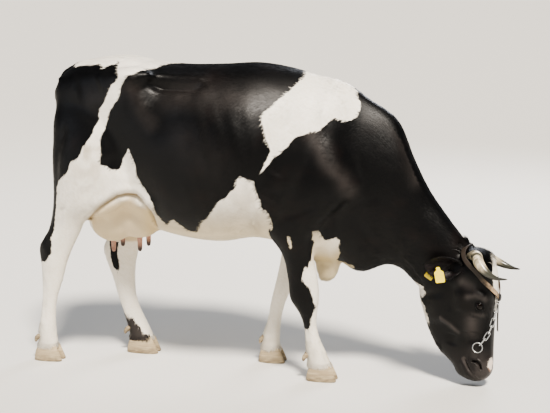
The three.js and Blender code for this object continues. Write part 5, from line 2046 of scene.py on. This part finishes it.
@dataclass
class Chain:
    """A short steel chain from the knob down the right side of the nose to a ring."""

    finish: SteelFinish
    wire: float = 1.9 * MM
    half: float = 8.5 * MM
    inner: float = 40 * MM
    links: int = 6
    ring_at: tuple[float, float, float] = (981, -83, 204)
    ring_radius: float = 22 * MM
    ring_wire: float = 2.4 * MM
    path: tuple = (
        (1055, -46, 404), (1051, -54, 368), (1044, -60, 332), (1032, -66, 288), (1014, -74, 250), (992, -80, 217),
    )

    def link(self, at: Array, along: Array, width: Array) -> Surface:
        """One link: a round wire bent round a stadium.

        Args:
            at: Its middle.
            along: The way of its length.
            width: The way of its width.

        Returns:
            The link.
        """
        push = self.inner / 2 - self.half + self.wire
        angle = round_angles(48)
        reach = np.cos(angle) * self.half + push * np.clip(np.cos(angle) * 3, -1, 1)
        line = at + reach[:, None] * along + (np.sin(angle) * self.half)[:, None] * width
        return tube(line, np.full(48, self.wire), 12, closed=True, up=tuple(np.cross(along, width)))

    def build(self) -> None:
        """Makes the links, each turned a quarter from the last, and the ring."""
        material = self.finish.made()
        fine = smooth_path(np.array(self.path, float) * MM, 400)
        run = np.concatenate([[0], np.cumsum(np.linalg.norm(np.diff(fine, axis=0), axis=1))])
        surfaces = []
        for i in range(self.links):
            place = (i + 0.5) / self.links * run[-1]
            around = place + np.array([0, -0.003, 0.003])
            at, before, after = np.stack([np.interp(around, run, fine[:, k]) for k in range(3)], 1)
            along = unit(after - before)
            side = unit(np.cross([0.7, -0.7, 0], along))
            turn = math.radians(45 if i % 2 == 0 else -45)
            width = side * math.cos(turn) + np.cross(along, side) * math.sin(turn)
            surfaces.append((f"chain_link_{i + 1}", self.link(at, along, width)))
        facing = unit(np.array([0.1, -1, 0.25]))
        level = unit(np.cross([0, 0, 1], facing))
        angle = round_angles(96)[:, None]
        circle = np.cos(angle) * level + np.sin(angle) * np.cross(facing, level)
        line = np.array(self.ring_at) * MM + circle * self.ring_radius
        ring = tube(line, np.full(96, self.ring_wire), 16, closed=True, up=tuple(facing))
        surfaces.append(("chain_ring", ring))
        for name, surface in surfaces:
            surface.points = from_head(surface.points)
            dressed(surface, f"{name}_wire", material, "chain_steel", name)
        log.info("chain: %d", len(surfaces))


@dataclass
class EarTag:
    """A plain yellow tag: a plate in the hollow of the right ear, a pin, and a plate behind the ear."""

    finish: TagFinish
    shape: EarShape = EarShape()
    width: float = 48
    height: float = 58
    neck: float = 20
    tab: float = 14
    pin: float = 3.2
    along: float = 0.64
    down: float = 13
    front: float = 19
    back: float = 12
    # height of each layer of a plate, and how far it is drawn in
    layers: tuple = (
        (0, 1.2), (0, 0.5), (0.25, 0.12), (0.6, 0), (1.8, 0), (2.15, 0.12), (2.4, 0.5), (2.4, 1.2),
    )

    def plate(self) -> Surface:
        """The plate about its own origin: one outline in thin layers, the outer ones drawn in to round the rim.

        Returns:
            The plate, in millimetres.
        """
        half, neck, low, tab = self.width / 2, self.neck / 2, -self.height, self.tab
        right = np.array(
            [(half - 4, low), (half, low + 4), (half, -tab * 0.9), (half - 3, -tab * 0.5), (neck, 0),
             (neck, tab - 4), (neck - 4, tab)]
        )
        left = right[::-1] * [-1, 1]
        corners = np.vstack([left[-1:], right, left[:-1]])
        run = np.linspace(0, len(corners), 140, endpoint=False)
        closed = np.vstack([corners, corners[:1]])
        outline = np.stack([np.interp(run, np.arange(len(closed)), closed[:, k]) for k in range(2)], 1)
        layers = []
        for lift, inset in self.layers:
            centre = np.array([0, -self.height / 2 + self.tab / 2])
            shrink = 1 - inset / np.maximum(np.abs(outline - centre).max(0), 1)
            layers.append(np.column_stack([(outline - centre) * shrink + centre, np.full(len(outline), lift)]))
        return Surface.of_grid(np.array(layers)).outward()

    @staticmethod
    def placed(points: Array, at: Array, facing: Array, upward: Array) -> Array:
        """Points turned so that their Z faces one way and their Y goes up.

        Args:
            points: Points about an origin, in millimetres.
            at: Where the origin goes.
            facing: The way that Z faces.
            upward: The way that Y goes, as nearly as it can.

        Returns:
            The points, in metres.
        """
        z = unit(facing)
        x = unit(np.cross(upward, z))
        return at + (points[:, :1] * x + points[:, 1:2] * np.cross(z, x) + points[:, 2:] * z) * MM

    def build(self) -> None:
        """Makes both plates and the pin between them."""
        material = self.finish.made()
        along, hollow, width = self.shape.frame(Side.RIGHT)
        up = np.array([0, 0, 1.0])

        def spot(lift: float) -> Array:
            """The pin's place in the ear, lifted towards the hollow."""
            return self.shape.place(Side.RIGHT, [self.along], [lift])[0] + width * self.down * MM

        front, back = self.plate(), self.plate()
        front.points = self.placed(front.points, spot(self.front), hollow + up * 0.55, up)
        back.points = self.placed(back.points, spot(-self.back), hollow, up - along * 0.7)
        length = self.front + self.back + 6
        reach = np.array([-0.5, -0.5, -0.46, 0.46, 0.5, 0.5]) * length
        radius = np.array([0.5, 2.4, 2.9, 2.9, 2.4, 0.5]) * self.pin / 3
        rod_path = spot((self.front - self.back) / 2) + np.outer(reach + np.linspace(-0.01, 0.01, 6), hollow) * MM
        rod = tube(rod_path, radius * MM, 20)
        for name, surfaces in (("ear_tag_front", [front, rod]), ("ear_tag_back", [back])):
            surface = joined(surfaces)
            surface.points = from_head(surface.points)
            dressed(surface, f"{name}_plate", material, "tag", name)
        log.info("ear tag: 2")


# ---- the coat ----
@dataclass(frozen=True)
class Growth:
    """How one stretch of hair grows: how much of it, how long, how wide and how far it stands out.

    A hair is too fine to show and too many grow to model, so a tuft stands for a lock and is 1 to 2 mm wide.

    Attributes:
        name: The piece's name.
        count: How many tufts.
        length: A tuft's length.
        width: A tuft's width at its widest.
        lift: How far the middle of a tuft stands off the skin.
        tip: How far the tip stands off the skin.
        stray: How far the tufts' ways differ, in radians.
        curl: How far a tuft bends sideways, as a share of its length.
    """

    name: str
    count: int
    length: float
    width: float
    lift: float = 0.5 * MM
    tip: float = 0.3 * MM
    stray: float = 0.14
    curl: float = 0.06


@dataclass
class Roots:
    """Places where tufts grow: their points, normals, ways, places on the unwrap and their skin's values."""

    points: Array
    normals: Array
    ways: Array
    unwrap: Array
    size: Array
    values: dict[str, Array]


def plain_values(count: int, white: float = -0.05) -> dict[str, Array]:
    """Values for the coat's material for hair of one colour.

    Args:
        count: How many points hold them.
        white: Below 0 for black hair and above 0 for white.

    Returns:
        An array under each name.
    """
    keys = ("cream", "stain", "pink", "slate", "nose", "leg")
    return {key: np.zeros(count) for key in keys} | {"white": np.full(count, white)}


class Region(Enum):
    """A stretch of the body with its own kind of hair."""

    BARREL = "barrel"
    FRONT = "front"
    REAR = "rear"
    LEGS = "legs"
    HEAD = "head"
    EDGES = "edges"
    POLL = "poll"
    FETLOCKS = "fetlocks"
    CORONETS = "coronets"


@dataclass
class Coat:
    """The coat: short tufts that overlap and lie along the body, with longer ones where it breaks the form."""

    finish: CoatFinish
    skin: Skin
    markings: Markings
    seed: int = 11
    divide: float = 1.05  # height of the line between the barrel's two pieces of hair
    roll: float = 0.14  # how far a tuft's shading turns from one side of it to the other
    nap: float = 0.08  # how far its shading leans towards its tip
    growths: dict[Region, tuple[Growth, ...]] = field(
        default_factory=lambda: {
            Region.BARREL: (
                Growth("barrel_hair_upper", 17000, 20 * MM, 2.0 * MM),
                Growth("barrel_hair_lower", 17000, 20 * MM, 2.0 * MM),
            ),
            Region.FRONT: (Growth("shoulder_and_neck_hair", 18000, 20 * MM, 2.0 * MM),),
            Region.REAR: (Growth("rump_and_thigh_hair", 17000, 19 * MM, 2.0 * MM),),
            Region.LEGS: (Growth("leg_hair", 17000, 13 * MM, 1.6 * MM, 0.4 * MM, 0.3 * MM),),
            Region.HEAD: (Growth("head_hair", 17000, 7 * MM, 0.9 * MM, 0.2 * MM, 0.1 * MM),),
            Region.EDGES: (Growth("belly_and_dewlap_hair", 6000, 20 * MM, 1.4 * MM, 1.2 * MM, 1.6 * MM, 0.3, 0.2),),
            Region.POLL: (Growth("poll_hair", 6500, 40 * MM, 1.5 * MM, 8 * MM, 5 * MM, 0.35, 0.25),),
            Region.FETLOCKS: (Growth("fetlock_hair", 4200, 20 * MM, 1.2 * MM, 1.5 * MM, 2 * MM, 0.3, 0.15),),
            Region.CORONETS: (Growth("coronet_hair", 5200, 22 * MM, 1.5 * MM, 4 * MM, 6 * MM, 0.2, 0.1),),
        }
    )

    @staticmethod
    def lie(points: Array, normals: Array) -> Array:
        """Which way the hair lies: back and down the trunk, down the legs, and up and down from the brow.

        Args:
            points: Places on the skin.
            normals: The skin's normals there.

        Returns:
            A unit way for each place, along the skin.
        """
        x, y, z = points.T
        head = to_head(points)
        count = len(points)

        def blend(base: Array, way: tuple[float, float, float], share: Array) -> Array:
            """The base ways turned towards one way by a share."""
            return base * (1 - share[:, None]) + np.tile(unit(np.array(way)), (count, 1)) * share[:, None]

        way = np.tile(unit(np.array([-0.80, 0.0, -0.60])), (count, 1))
        way = blend(way, (-1.0, 0.0, -0.12), smooth_step(z, 1.25, 1.42))
        way = blend(way, (-1.0, 0.0, 0.0), smooth_step(normals[:, 2], -0.3, -0.8) * (z > 0.5))
        way = blend(way, (-0.45, 0.0, -0.9), smooth_step(x, -0.62, -0.85))
        way = blend(way, (-0.62, 0.0, 0.30), smooth_step(x - 0.25 * (1.2 - z), 0.32, 0.55))
        legs = smooth_step(z, 0.80, 0.62) * smooth_step(np.abs(y), 0.05, 0.08) * (x < 0.45)
        way = blend(way, (-0.12, 0.0, -1.0), legs)
        udder = np.linalg.norm((points - [-0.70, 0, 0.735]) / [0.22, 0.19, 0.16], axis=1)
        way = blend(way, (-0.3, 0.0, -0.9), smooth_step(udder, 1.1, 0.9))
        face, crown = turned(np.array([[0.2, 0, -0.98], [-0.35, 0, 0.94]]), HEAD_TURN)
        on_head = smooth_step(head[:, 0] - 0.35 * (head[:, 2] - 0.4), 0.72, 0.82)
        way = blend(way, tuple(face), on_head * smooth_step(head[:, 2], 0.46, 0.40))
        way = blend(way, tuple(crown), on_head * smooth_step(head[:, 2], 0.42, 0.48))
        swirl = value_noise(points, 0.11, 21)[:, None] * np.cross(normals, way) * 0.22
        return square_to(way + swirl, normals)

    def weights(self, region: Region, points: Array, normals: Array) -> Array:
        """How thickly a region's tufts stand at each place.

        Args:
            region: Where the hair grows.
            points: Places on the skin.
            normals: The skin's normals there.

        Returns:
            Shares from 0 to 1.
        """
        x, y, z = points.T
        head = to_head(points)
        on_head = Markings.on_face(points)
        side = np.abs(head[:, 1])
        bare = smooth_step(self.skin.eye.distance(head), 0.024, 0.034)
        bare *= 1 - smooth_step(head[:, 2] + 0.35 * (1.0 - head[:, 0]), 0.17, 0.12) * on_head
        haired = 1 - self.markings.udder(points)
        leg = (z < 0.70) & (np.abs(y) > 0.05) & (x < 0.42)
        trunk = ~leg & ~on_head
        under = smooth_step(normals[:, 2], -0.35, -0.8)
        fetlock = (z < 0.20) & (z > 0.055)
        rear_facing = smooth_step(normals[:, 0], 0.1, -0.6)
        poll = smooth_step(head[:, 2], 0.555, 0.60) * smooth_step(side, 0.075, 0.045) * (head[:, 0] > 0.89)
        return {
            Region.BARREL: trunk * (x > -0.55) * (x < 0.2) * haired,
            Region.FRONT: trunk * (x >= 0.2),
            Region.REAR: trunk * (x <= -0.55) * haired,
            Region.LEGS: leg * haired,
            Region.HEAD: on_head * bare,
            Region.EDGES: trunk * haired * under * (z < 0.9) * (0.25 + (np.abs(y) < 0.1)),
            Region.POLL: on_head * poll,
            Region.FETLOCKS: fetlock * ~on_head * (0.15 + rear_facing),
            Region.CORONETS: ~on_head & (z < 0.088) & (z > 0.052) & (normals[:, 2] > -0.6),
        }[region]

    @staticmethod
    def scattered(weight: Array, count: int, rng: np.random.Generator) -> tuple[Array, list[Array]]:
        """Random places on triangles.

        Args:
            weight: How likely each triangle is.
            count: How many places.
            rng: Seeded randomness.

        Returns:
            The triangle that each falls in, and its shares of the three corners.
        """
        pick = rng.choice(len(weight), count, p=weight / weight.sum())
        u, v = rng.uniform(0, 1, (2, count))
        flip = u + v > 1
        u, v = np.where(flip, 1 - u, u)[:, None], np.where(flip, 1 - v, v)[:, None]
        return pick, [1 - u - v, u, v]

    def lash_roots(self, side: Side, growth: Growth, rng: np.random.Generator) -> Roots:
        """Roots of the lashes along the rim of the upper lid, the one nearer to the forehead.

        Args:
            side: Which eye.
            growth: The kind of hair.
            rng: Seeded randomness.

        Returns:
            The roots.
        """
        eye = self.skin.eye
        centre, out, long, across = eye.axes(side)
        upper = across if across[0] > 0 else -across
        turn = rng.uniform(-1.15, 1.15, growth.count)[:, None]
        flat = long * np.sin(turn) * eye.half_length * 1.02 + upper * np.cos(turn) * eye.half_width * 1.02
        height = np.sqrt(np.maximum((eye.radius + eye.lid) ** 2 - np.sum(flat**2, axis=1, keepdims=True), 0))
        at = from_head(centre + flat + out * height)
        ways = out * 0.9 + upper * 0.25 + long * 0.35 * np.sin(turn) + [0, 0, -0.35]
        ways = unit(turned(ways, HEAD_TURN))
        up = square_to(turned(np.tile(upper, (growth.count, 1)), HEAD_TURN), ways)
        spot = np.tile([0.02, 0.09], (growth.count, 1)) + 0.004 * rng.uniform(0, 1, (growth.count, 2))
        return Roots(at, up, ways, spot, rng.uniform(0.7, 1.1, growth.count), plain_values(growth.count))

    def ear_roots(self, side: Side, ear: Surface, growth: Growth, rng: np.random.Generator) -> Roots:
        """Roots on an ear: along it, short behind and longer towards the rim and in the hollow.

        Args:
            side: Which ear.
            ear: The ear's surface, with the values "rim" and "inner".
            growth: The kind of hair.
            rng: Seeded randomness.

        Returns:
            The roots.
        """
        corners = np.vstack([ear.faces[:, [0, 1, 2]], ear.faces[:, [0, 2, 3]]])
        a, b, c = (ear.points[corners[:, k]] for k in range(3))
        flat = np.cross(b - a, c - a)
        area = np.linalg.norm(flat, axis=1)
        pick, mix = self.scattered(area, growth.count, rng)
        at = sum(ear.points[corners[pick, k]] * mix[k] for k in range(3))
        up = unit(flat[pick])
        held = (ear.values["rim"], ear.values["inner"])
        rim, inner = (sum(value[corners[pick, k]] * mix[k][:, 0] for k in range(3)) for value in held)
        along, hollow, _ = EarShape().frame(side)
        along, hollow = turned(along[None], HEAD_TURN), turned(hollow[None], HEAD_TURN)
        ways = along + hollow * (rim * 0.8 + inner * 0.3)[:, None]
        ways = ways + 0.5 * np.cross(up, along) * rng.normal(0, 0.5, growth.count)[:, None]
        ways = square_to(ways, up)
        spot = np.stack([0.03 + 0.04 * rng.uniform(0, 1, growth.count), 0.03 + 0.04 * rim], 1)
        size = (0.6 + 1.1 * rim + 0.5 * inner) * rng.uniform(0.7, 1.2, growth.count)
        return Roots(at, up, ways, spot, size, plain_values(growth.count))

    def roots(self, region: Region, growth: Growth, skin_map: SkinMap, rng: np.random.Generator) -> Roots:
        """Scatters a growth's roots over the skin by area and by the region's weights.

        Args:
            region: Where the hair grows.
            growth: The kind of hair.
            skin_map: The skin's points, normals, triangles and unwrap.
            rng: Seeded randomness.

        Returns:
            The roots.
        """
        points, normals, corners, unwrap = skin_map
        a, b, c = (points[corners[:, k]] for k in range(3))
        middle = (a + b + c) / 3
        normal = unit(np.cross(b - a, c - a))
        area = np.linalg.norm(np.cross(b - a, c - a), axis=1)
        weight = area * self.weights(region, middle, normal)
        if growth.name.endswith("upper"):
            weight = weight * (middle[:, 2] >= self.divide)
        if growth.name.endswith("lower"):
            weight = weight * (middle[:, 2] < self.divide)
        pick, mix = self.scattered(weight, growth.count, rng)
        at = sum(points[corners[pick, k]] * mix[k] for k in range(3))
        up = unit(sum(normals[corners[pick, k]] * mix[k] for k in range(3)))
        spot = sum(unwrap[pick, k] * mix[k] for k in range(3))
        ways = self.lie(at, up)
        turn = rng.normal(0, growth.stray, growth.count)[:, None]
        ways = ways * np.cos(turn) + np.cross(up, ways) * np.sin(turn)
        values = self.markings.values(at, up)
        values["white"] = np.where(values["white"] > 0, 0.05, -0.05)
        head = to_head(at)
        muzzle = smooth_step(head[:, 2], 0.27, 0.13) * Markings.on_face(at)
        return Roots(at, up, ways, spot, rng.uniform(0.7, 1.25, growth.count) * (1 - 0.84 * muzzle), values)

    def tufts(self, growth: Growth, roots: Roots, rng: np.random.Generator) -> Surface:
        """Tufts as thin three-sided blades: p(t) = root + way L t + normal (4 h t (1 - t) + k t) + side b t^2.

        Args:
            growth: The kind of hair.
            roots: Where it grows.
            rng: Seeded randomness.

        Returns:
            One closed blade for each root, with its patch of the unwrap.
        """
        count = len(roots.points)
        stations = np.array([0.0, 0.4, 0.75]) if growth.length > 30 * MM else np.array([0.0, 0.45])
        wide = np.array([0.6, 1.0, 0.7])[: len(stations)] / 2 * growth.width
        across = np.cross(roots.normals, roots.ways)
        length = (growth.length * roots.size)[:, None, None]
        t = np.append(stations, 1.0)[None, :, None]
        bend = rng.normal(0, growth.curl, count)[:, None, None]
        high = growth.lift * roots.size[:, None, None] * rng.uniform(0.3, 1.3, (count, 1, 1))
        rise = 4 * high * t * (1 - t) + growth.tip * rng.uniform(0.2, 1.4, (count, 1, 1)) * t - 0.3 * MM * (1 - t)
        line = roots.points[:, None] + roots.ways[:, None] * length * t + across[:, None] * bend * length * t**2
        line = line + roots.normals[:, None] * rise
        corner = np.array([[-1.0, 0.0], [1.0, 0.0], [0.0, 0.28]])
        spread = wide[None, :, None, None] * corner[None, None, :, :1] * across[:, None, None]
        lift = wide[None, :, None, None] * corner[None, None, :, 1:] * roots.normals[:, None, None]
        rings = line[:, :-1, None] + spread + lift
        points = np.concatenate([rings.reshape(count, -1, 3), line[:, -1:]], 1)
        size = points.shape[1]
        faces = [[2, 1, 0]]
        for ring in range(len(stations) - 1):
            for j in range(3):
                k, n = 3 * ring + j, 3 * ring + (j + 1) % 3
                faces += [[k, n, n + 3], [k, n + 3, k + 3]]
        last = 3 * (len(stations) - 1)
        faces += [[last + j, last + (j + 1) % 3, size - 1] for j in range(3)]
        every = (np.array(faces)[None] + (np.arange(count) * size)[:, None, None]).reshape(-1, 3)
        along = np.append(np.repeat(stations, 3), 1.0)
        sideways = np.append(np.tile([0.0, 1.0, 0.5], len(stations)), 0.5)
        patch = (np.stack([sideways, along], 1) - 0.5) * PATCH
        made = Surface(points.reshape(-1, 3), every)
        made.unwrap = (roots.unwrap[:, None] + patch[None]).reshape(-1, 2)
        made.values = {key: np.repeat(value, size) for key, value in roots.values.items()}
        roll = (2 * sideways - 1)[None, :, None] * across[:, None] * self.roll
        made.normals = unit(roots.normals[:, None] + roll + roots.ways[:, None] * self.nap).reshape(-1, 3)
        return made.outward()

    def unwrap_skin(self) -> SkinMap:
        """Unwraps the skin by its own shape and reads its triangles.

        Returns:
            The skin's points and normals, its triangles' corners, and each corner's place on the unwrap.
        """
        piece = self.skin.piece
        mesh = piece.data
        mesh.uv_layers.new(name="SkinUnwrap")
        bpy.context.view_layer.objects.active = piece
        piece.select_set(True)
        bpy.ops.object.mode_set(mode="EDIT")
        bpy.ops.mesh.select_all(action="SELECT")
        bpy.ops.uv.smart_project(angle_limit=math.radians(66), island_margin=0.004)
        bpy.ops.object.mode_set(mode="OBJECT")
        piece.select_set(False)
        mesh.calc_loop_triangles()
        count = len(mesh.loop_triangles)
        corners, loops = np.empty(count * 3, np.int32), np.empty(count * 3, np.int32)
        mesh.loop_triangles.foreach_get("vertices", corners)
        mesh.loop_triangles.foreach_get("loops", loops)
        unwrap = np.empty(len(mesh.loops) * 2, np.float32)
        mesh.uv_layers["SkinUnwrap"].data.foreach_get("uv", unwrap)
        points, normals = Skin.points_of(mesh), Skin.normals_of(mesh)
        return points, normals, corners.reshape(-1, 3), unwrap.reshape(-1, 2)[loops].reshape(-1, 3, 2)

    def build(self, ears: Ears) -> None:
        """Grows every region's hair and the ears', each growth in a piece of its own.

        Args:
            ears: The ears, already built.
        """
        skin_map = self.unwrap_skin()
        material = self.finish.on_tufts()
        for region, growths in self.growths.items():
            for growth in growths:
                rng = np.random.default_rng(self.seed + len(growth.name) + growth.count)
                self.put(growth, self.roots(region, growth, skin_map, rng), rng, material)
        rng = np.random.default_rng(self.seed)
        for side in Side:
            growth = Growth(f"eyelashes_{side.name.lower()}", 70, 15 * MM, 0.7 * MM, 2 * MM, 3 * MM, 0.2, 0.2)
            self.put(growth, self.lash_roots(side, growth, rng), rng, material)
        for side, ear in ears.leaves.items():
            growth = Growth(f"ear_hair_{side.name.lower()}", 3200, 13 * MM, 0.9 * MM, 0.6 * MM, 2.5 * MM, 0.3, 0.25)
            self.put(growth, self.ear_roots(side, ear, growth, rng), rng, material)

    def put(self, growth: Growth, roots: Roots, rng: np.random.Generator, material: bpy.types.Material) -> None:
        """Grows tufts from their roots and puts them into the scene as a piece of the coat.

        Args:
            growth: The kind of hair.
            roots: Where it grows.
            rng: Seeded randomness.
            material: The tufts' material.
        """
        made = self.tufts(growth, roots, rng)
        dressed(made, growth.name, material, "coat_black")
        log.info("%s: %d tufts, %d triangles", growth.name, growth.count, len(made.faces))


# ---- tail switch ----
@dataclass
class Switch:
    """The tail's long hair: locks that start round the end of the dock, swell and draw in to points."""

    finish: CoatFinish
    locks: int = 420
    steps: int = 9
    seed: int = 5
    top: float = 0.652
    length: float = 0.298
    sideways: float = 0.015
    # share of the length from the top, x of the middle before the shift, half-width, metres
    outline: tuple = (
        (0, -1.072, 0.013), (0.3, -1.090, 0.024), (0.56, -1.100, 0.031), (0.83, -1.106, 0.018), (1, -1.108, 0.004),
    )

    def build(self) -> None:
        """Makes the locks: each a thin three-sided taper along a curve that follows the switch's own outline."""
        rng = np.random.default_rng(self.seed)
        count, steps = self.locks, self.steps
        start = rng.uniform(0.0, 0.42, count)
        end = np.clip(start + rng.uniform(0.45, 0.75, count), 0, 1)
        turn = rng.uniform(0, 2 * math.pi, count)
        depth = np.sqrt(rng.uniform(0.15, 1, count))
        share = start[:, None] + (end - start)[:, None] * np.linspace(0, 1, steps)
        height = self.top - self.length * share
        stops, middles, halves = np.array(self.outline).T
        middle, wide = np.interp(share, stops, middles) + BODY_SHIFT, np.interp(share, stops, halves)
        bend = turn[:, None] + 0.5 * np.sin(share * 5 + turn[:, None] * 3) * 0.5
        radius = wide * depth[:, None]
        line = np.stack([middle + radius * np.cos(bend), self.sideways + radius * np.sin(bend) * 0.92, height], -1)
        thick = 0.0022 * np.sin(np.clip(np.linspace(0.25, 1, steps), 0, 1) * math.pi) ** 0.8 + 0.00025
        ahead = unit(np.gradient(line, axis=1))
        across = unit(np.cross(ahead, np.array([0.3, 0.9, 0.1])))
        over = np.cross(across, ahead)
        angle = round_angles(3)[None, None, :, None]
        ring = np.cos(angle) * across[:, :, None] + np.sin(angle) * over[:, :, None]
        ring = line[:, :, None] + thick[None, :, None, None] * ring
        one = Surface.of_grid(ring[0])
        points = [np.vstack([r.reshape(-1, 3), r[0].mean(0), r[-1].mean(0)]) for r in ring]
        size = steps * 3 + 2
        faces = (one.faces[None] + (np.arange(count) * size)[:, None, None]).reshape(-1, 4)
        hair = Surface(np.vstack(points), faces)
        tone = np.repeat(rng.uniform(0, 1, count), size)
        hair.values = plain_values(len(hair.points), 0.05)
        hair.values |= {"cream": tone * 0.6, "stain": np.clip(tone - 0.5, 0, 1) * 0.8}
        around = np.repeat(turn / (2 * math.pi), size)
        down = np.repeat(start, size)
        grid = np.tile(np.concatenate([np.repeat(np.linspace(0, 1, steps), 3), [0, 1]]), count)
        spin = np.tile(np.concatenate([np.tile([0, 0.5, 1], steps), [0.5, 0.5]]), count)
        hair.unwrap = np.stack([0.02 + 0.2 * around + spin * PATCH, 0.02 + 0.2 * down + grid * PATCH], 1)
        core = ball(np.array([-1.096 + BODY_SHIFT, self.sideways, 0.51]), np.array([0.017, 0.016, 0.15]), 20, 16)
        core.values = plain_values(len(core.points), 0.05) | {"cream": np.full(len(core.points), 0.3)}
        core.unwrap = np.full((len(core.points), 2), 0.01)
        dressed(joined([hair, core]), "tail_switch_locks", self.finish.on_tufts(), "coat_white", "tail_switch")
        log.info("tail switch: %d locks", count)


# ---- the studio ----
@dataclass(frozen=True)
class Studio:
    """A pale floor, a soft high light from the camera's side, weaker ones round it, and the camera."""

    floor_colour: str = "#dcdad5"
    floor_size: float = 400.0
    key_from: tuple[float, float, float] = (0.42, -0.72, 1.30)
    key_strength: float = 6.6
    key_angle: float = 12.0  # how wide the light looks from the cow, in degrees
    key_colour: str = "#fff7ec"
    fill_place: tuple[float, float, float] = (-5.5, -4.5, 2.6)
    fill_power: float = 70.0
    fill_size: float = 4.0
    fill_colour: str = "#e8f0ff"
    rim_place: tuple[float, float, float] = (1.5, 5.5, 4.5)
    rim_power: float = 260.0
    rim_size: float = 3.0
    rim_colour: str = "#f4f7ff"
    sky_colour: str = "#e9ecf0"
    sky_strength: float = 0.21
    contrast: str = "AgX - Medium High Contrast"
    camera_place: tuple[float, float, float] = (1.317, -5.387, 1.815)
    camera_turn: tuple[float, float, float] = (90 - 10.458, 0.0, 13.5)
    lens: float = 78.545

    def light(self, name: str, kind: str, place: tuple, size: float, power: float, colour: str) -> None:
        """Makes a light that faces the cow's middle.

        Args:
            name: Its name.
            kind: SUN or AREA.
            place: Where it stands.
            size: The side of a square light in metres, or a sun's angle in degrees.
            power: Watts, or a sun's strength.
            colour: Its colour, such as #fff7ec.
        """
        data = bpy.data.lights.new(name, kind)
        data.energy, data.color = power, linear(colour)[:3]
        if kind == "SUN":
            data.angle = math.radians(size)
        else:
            data.size = size
        lamp = bpy.data.objects.new(name, data)
        lamp.location = place
        lamp.rotation_euler = (Vector((0, 0, 0.8)) - Vector(place)).to_track_quat("-Z", "Y").to_euler()
        bpy.context.scene.collection.objects.link(lamp)

    def build(self) -> None:
        """Makes the floor, the lights, the world and the camera."""
        half = self.floor_size / 2
        corners = np.array([[-half, -half, 0], [half, -half, 0], [half, half, 0], [-half, half, 0]], float)
        floor = Surface(corners, np.array([[0, 1, 2, 3]])).made("floor")
        floor.data.materials.append(Paint("matt_plaster_floor").finished(self.floor_colour, Roughness=0.9))
        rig.stage(floor)
        high = tuple(8 * value for value in self.key_from)
        self.light("key", "SUN", high, self.key_angle, self.key_strength, self.key_colour)
        self.light("fill", "AREA", self.fill_place, self.fill_size, self.fill_power, self.fill_colour)
        self.light("rim", "AREA", self.rim_place, self.rim_size, self.rim_power, self.rim_colour)
        world = bpy.data.worlds.new("studio")
        world.use_nodes = True
        sky = world.node_tree.nodes["Background"].inputs
        sky["Color"].default_value, sky["Strength"].default_value = linear(self.sky_colour), self.sky_strength
        bpy.context.scene.world = world
        bpy.context.scene.view_settings.look = self.contrast
        data = bpy.data.cameras.new("camera")
        data.lens, data.sensor_width = self.lens, 36.0
        camera = bpy.data.objects.new("camera", data)
        camera.location = self.camera_place
        camera.rotation_euler = Euler([math.radians(a) for a in self.camera_turn])
        bpy.context.scene.collection.objects.link(camera)
        bpy.context.scene.camera = camera
        log.info("studio: floor, 3 lights, camera")


def save_bounds(name: str) -> None:
    """Args:
        name: The bounds' name in the file, solids or looks.
    """
    low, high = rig.bounds()
    try:
        with open(SIZE_FILE) as source:
            sizes = json.load(source) if name != "solids" else {}
    except FileNotFoundError:
        sizes = {}
    sizes[name] = [list(low), list(high)]
    with open(SIZE_FILE, "w") as target:
        json.dump(sizes, target, indent=1)


def main() -> None:
    """Builds the cow and the studio round it."""
    logging.basicConfig(level=logging.INFO, format="%(name)s %(message)s")
    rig.load()
    save_bounds("solids")
    coat = CoatFinish()
    skin = Skin(coat)
    skin.build()
    points, normals = Skin.points_of(skin.piece.data), Skin.normals_of(skin.piece.data)
    markings = Markings()
    skin.dress(markings.values(points, normals))
    Eyes(EyeFinish()).build()
    Horns(HornFinish()).build()
    ears = Ears(coat)
    ears.build()
    Coat(coat, skin, markings).build(ears)
    Hooves(HoofFinish()).build()
    Teats(TeatFinish()).build()
    Switch(coat).build()
    tan = LeatherFinish("tan_strap_leather", "#b39a7c", "#2c231b")
    black = LeatherFinish("blackened_leather", "#191413", "#0c0a0a", 0.4)
    Strap(tan, black).build()
    Chain(SteelFinish()).build()
    EarTag(TagFinish()).build()
    Studio().build()
    save_bounds("looks")


if __name__ == "__main__":
    main()
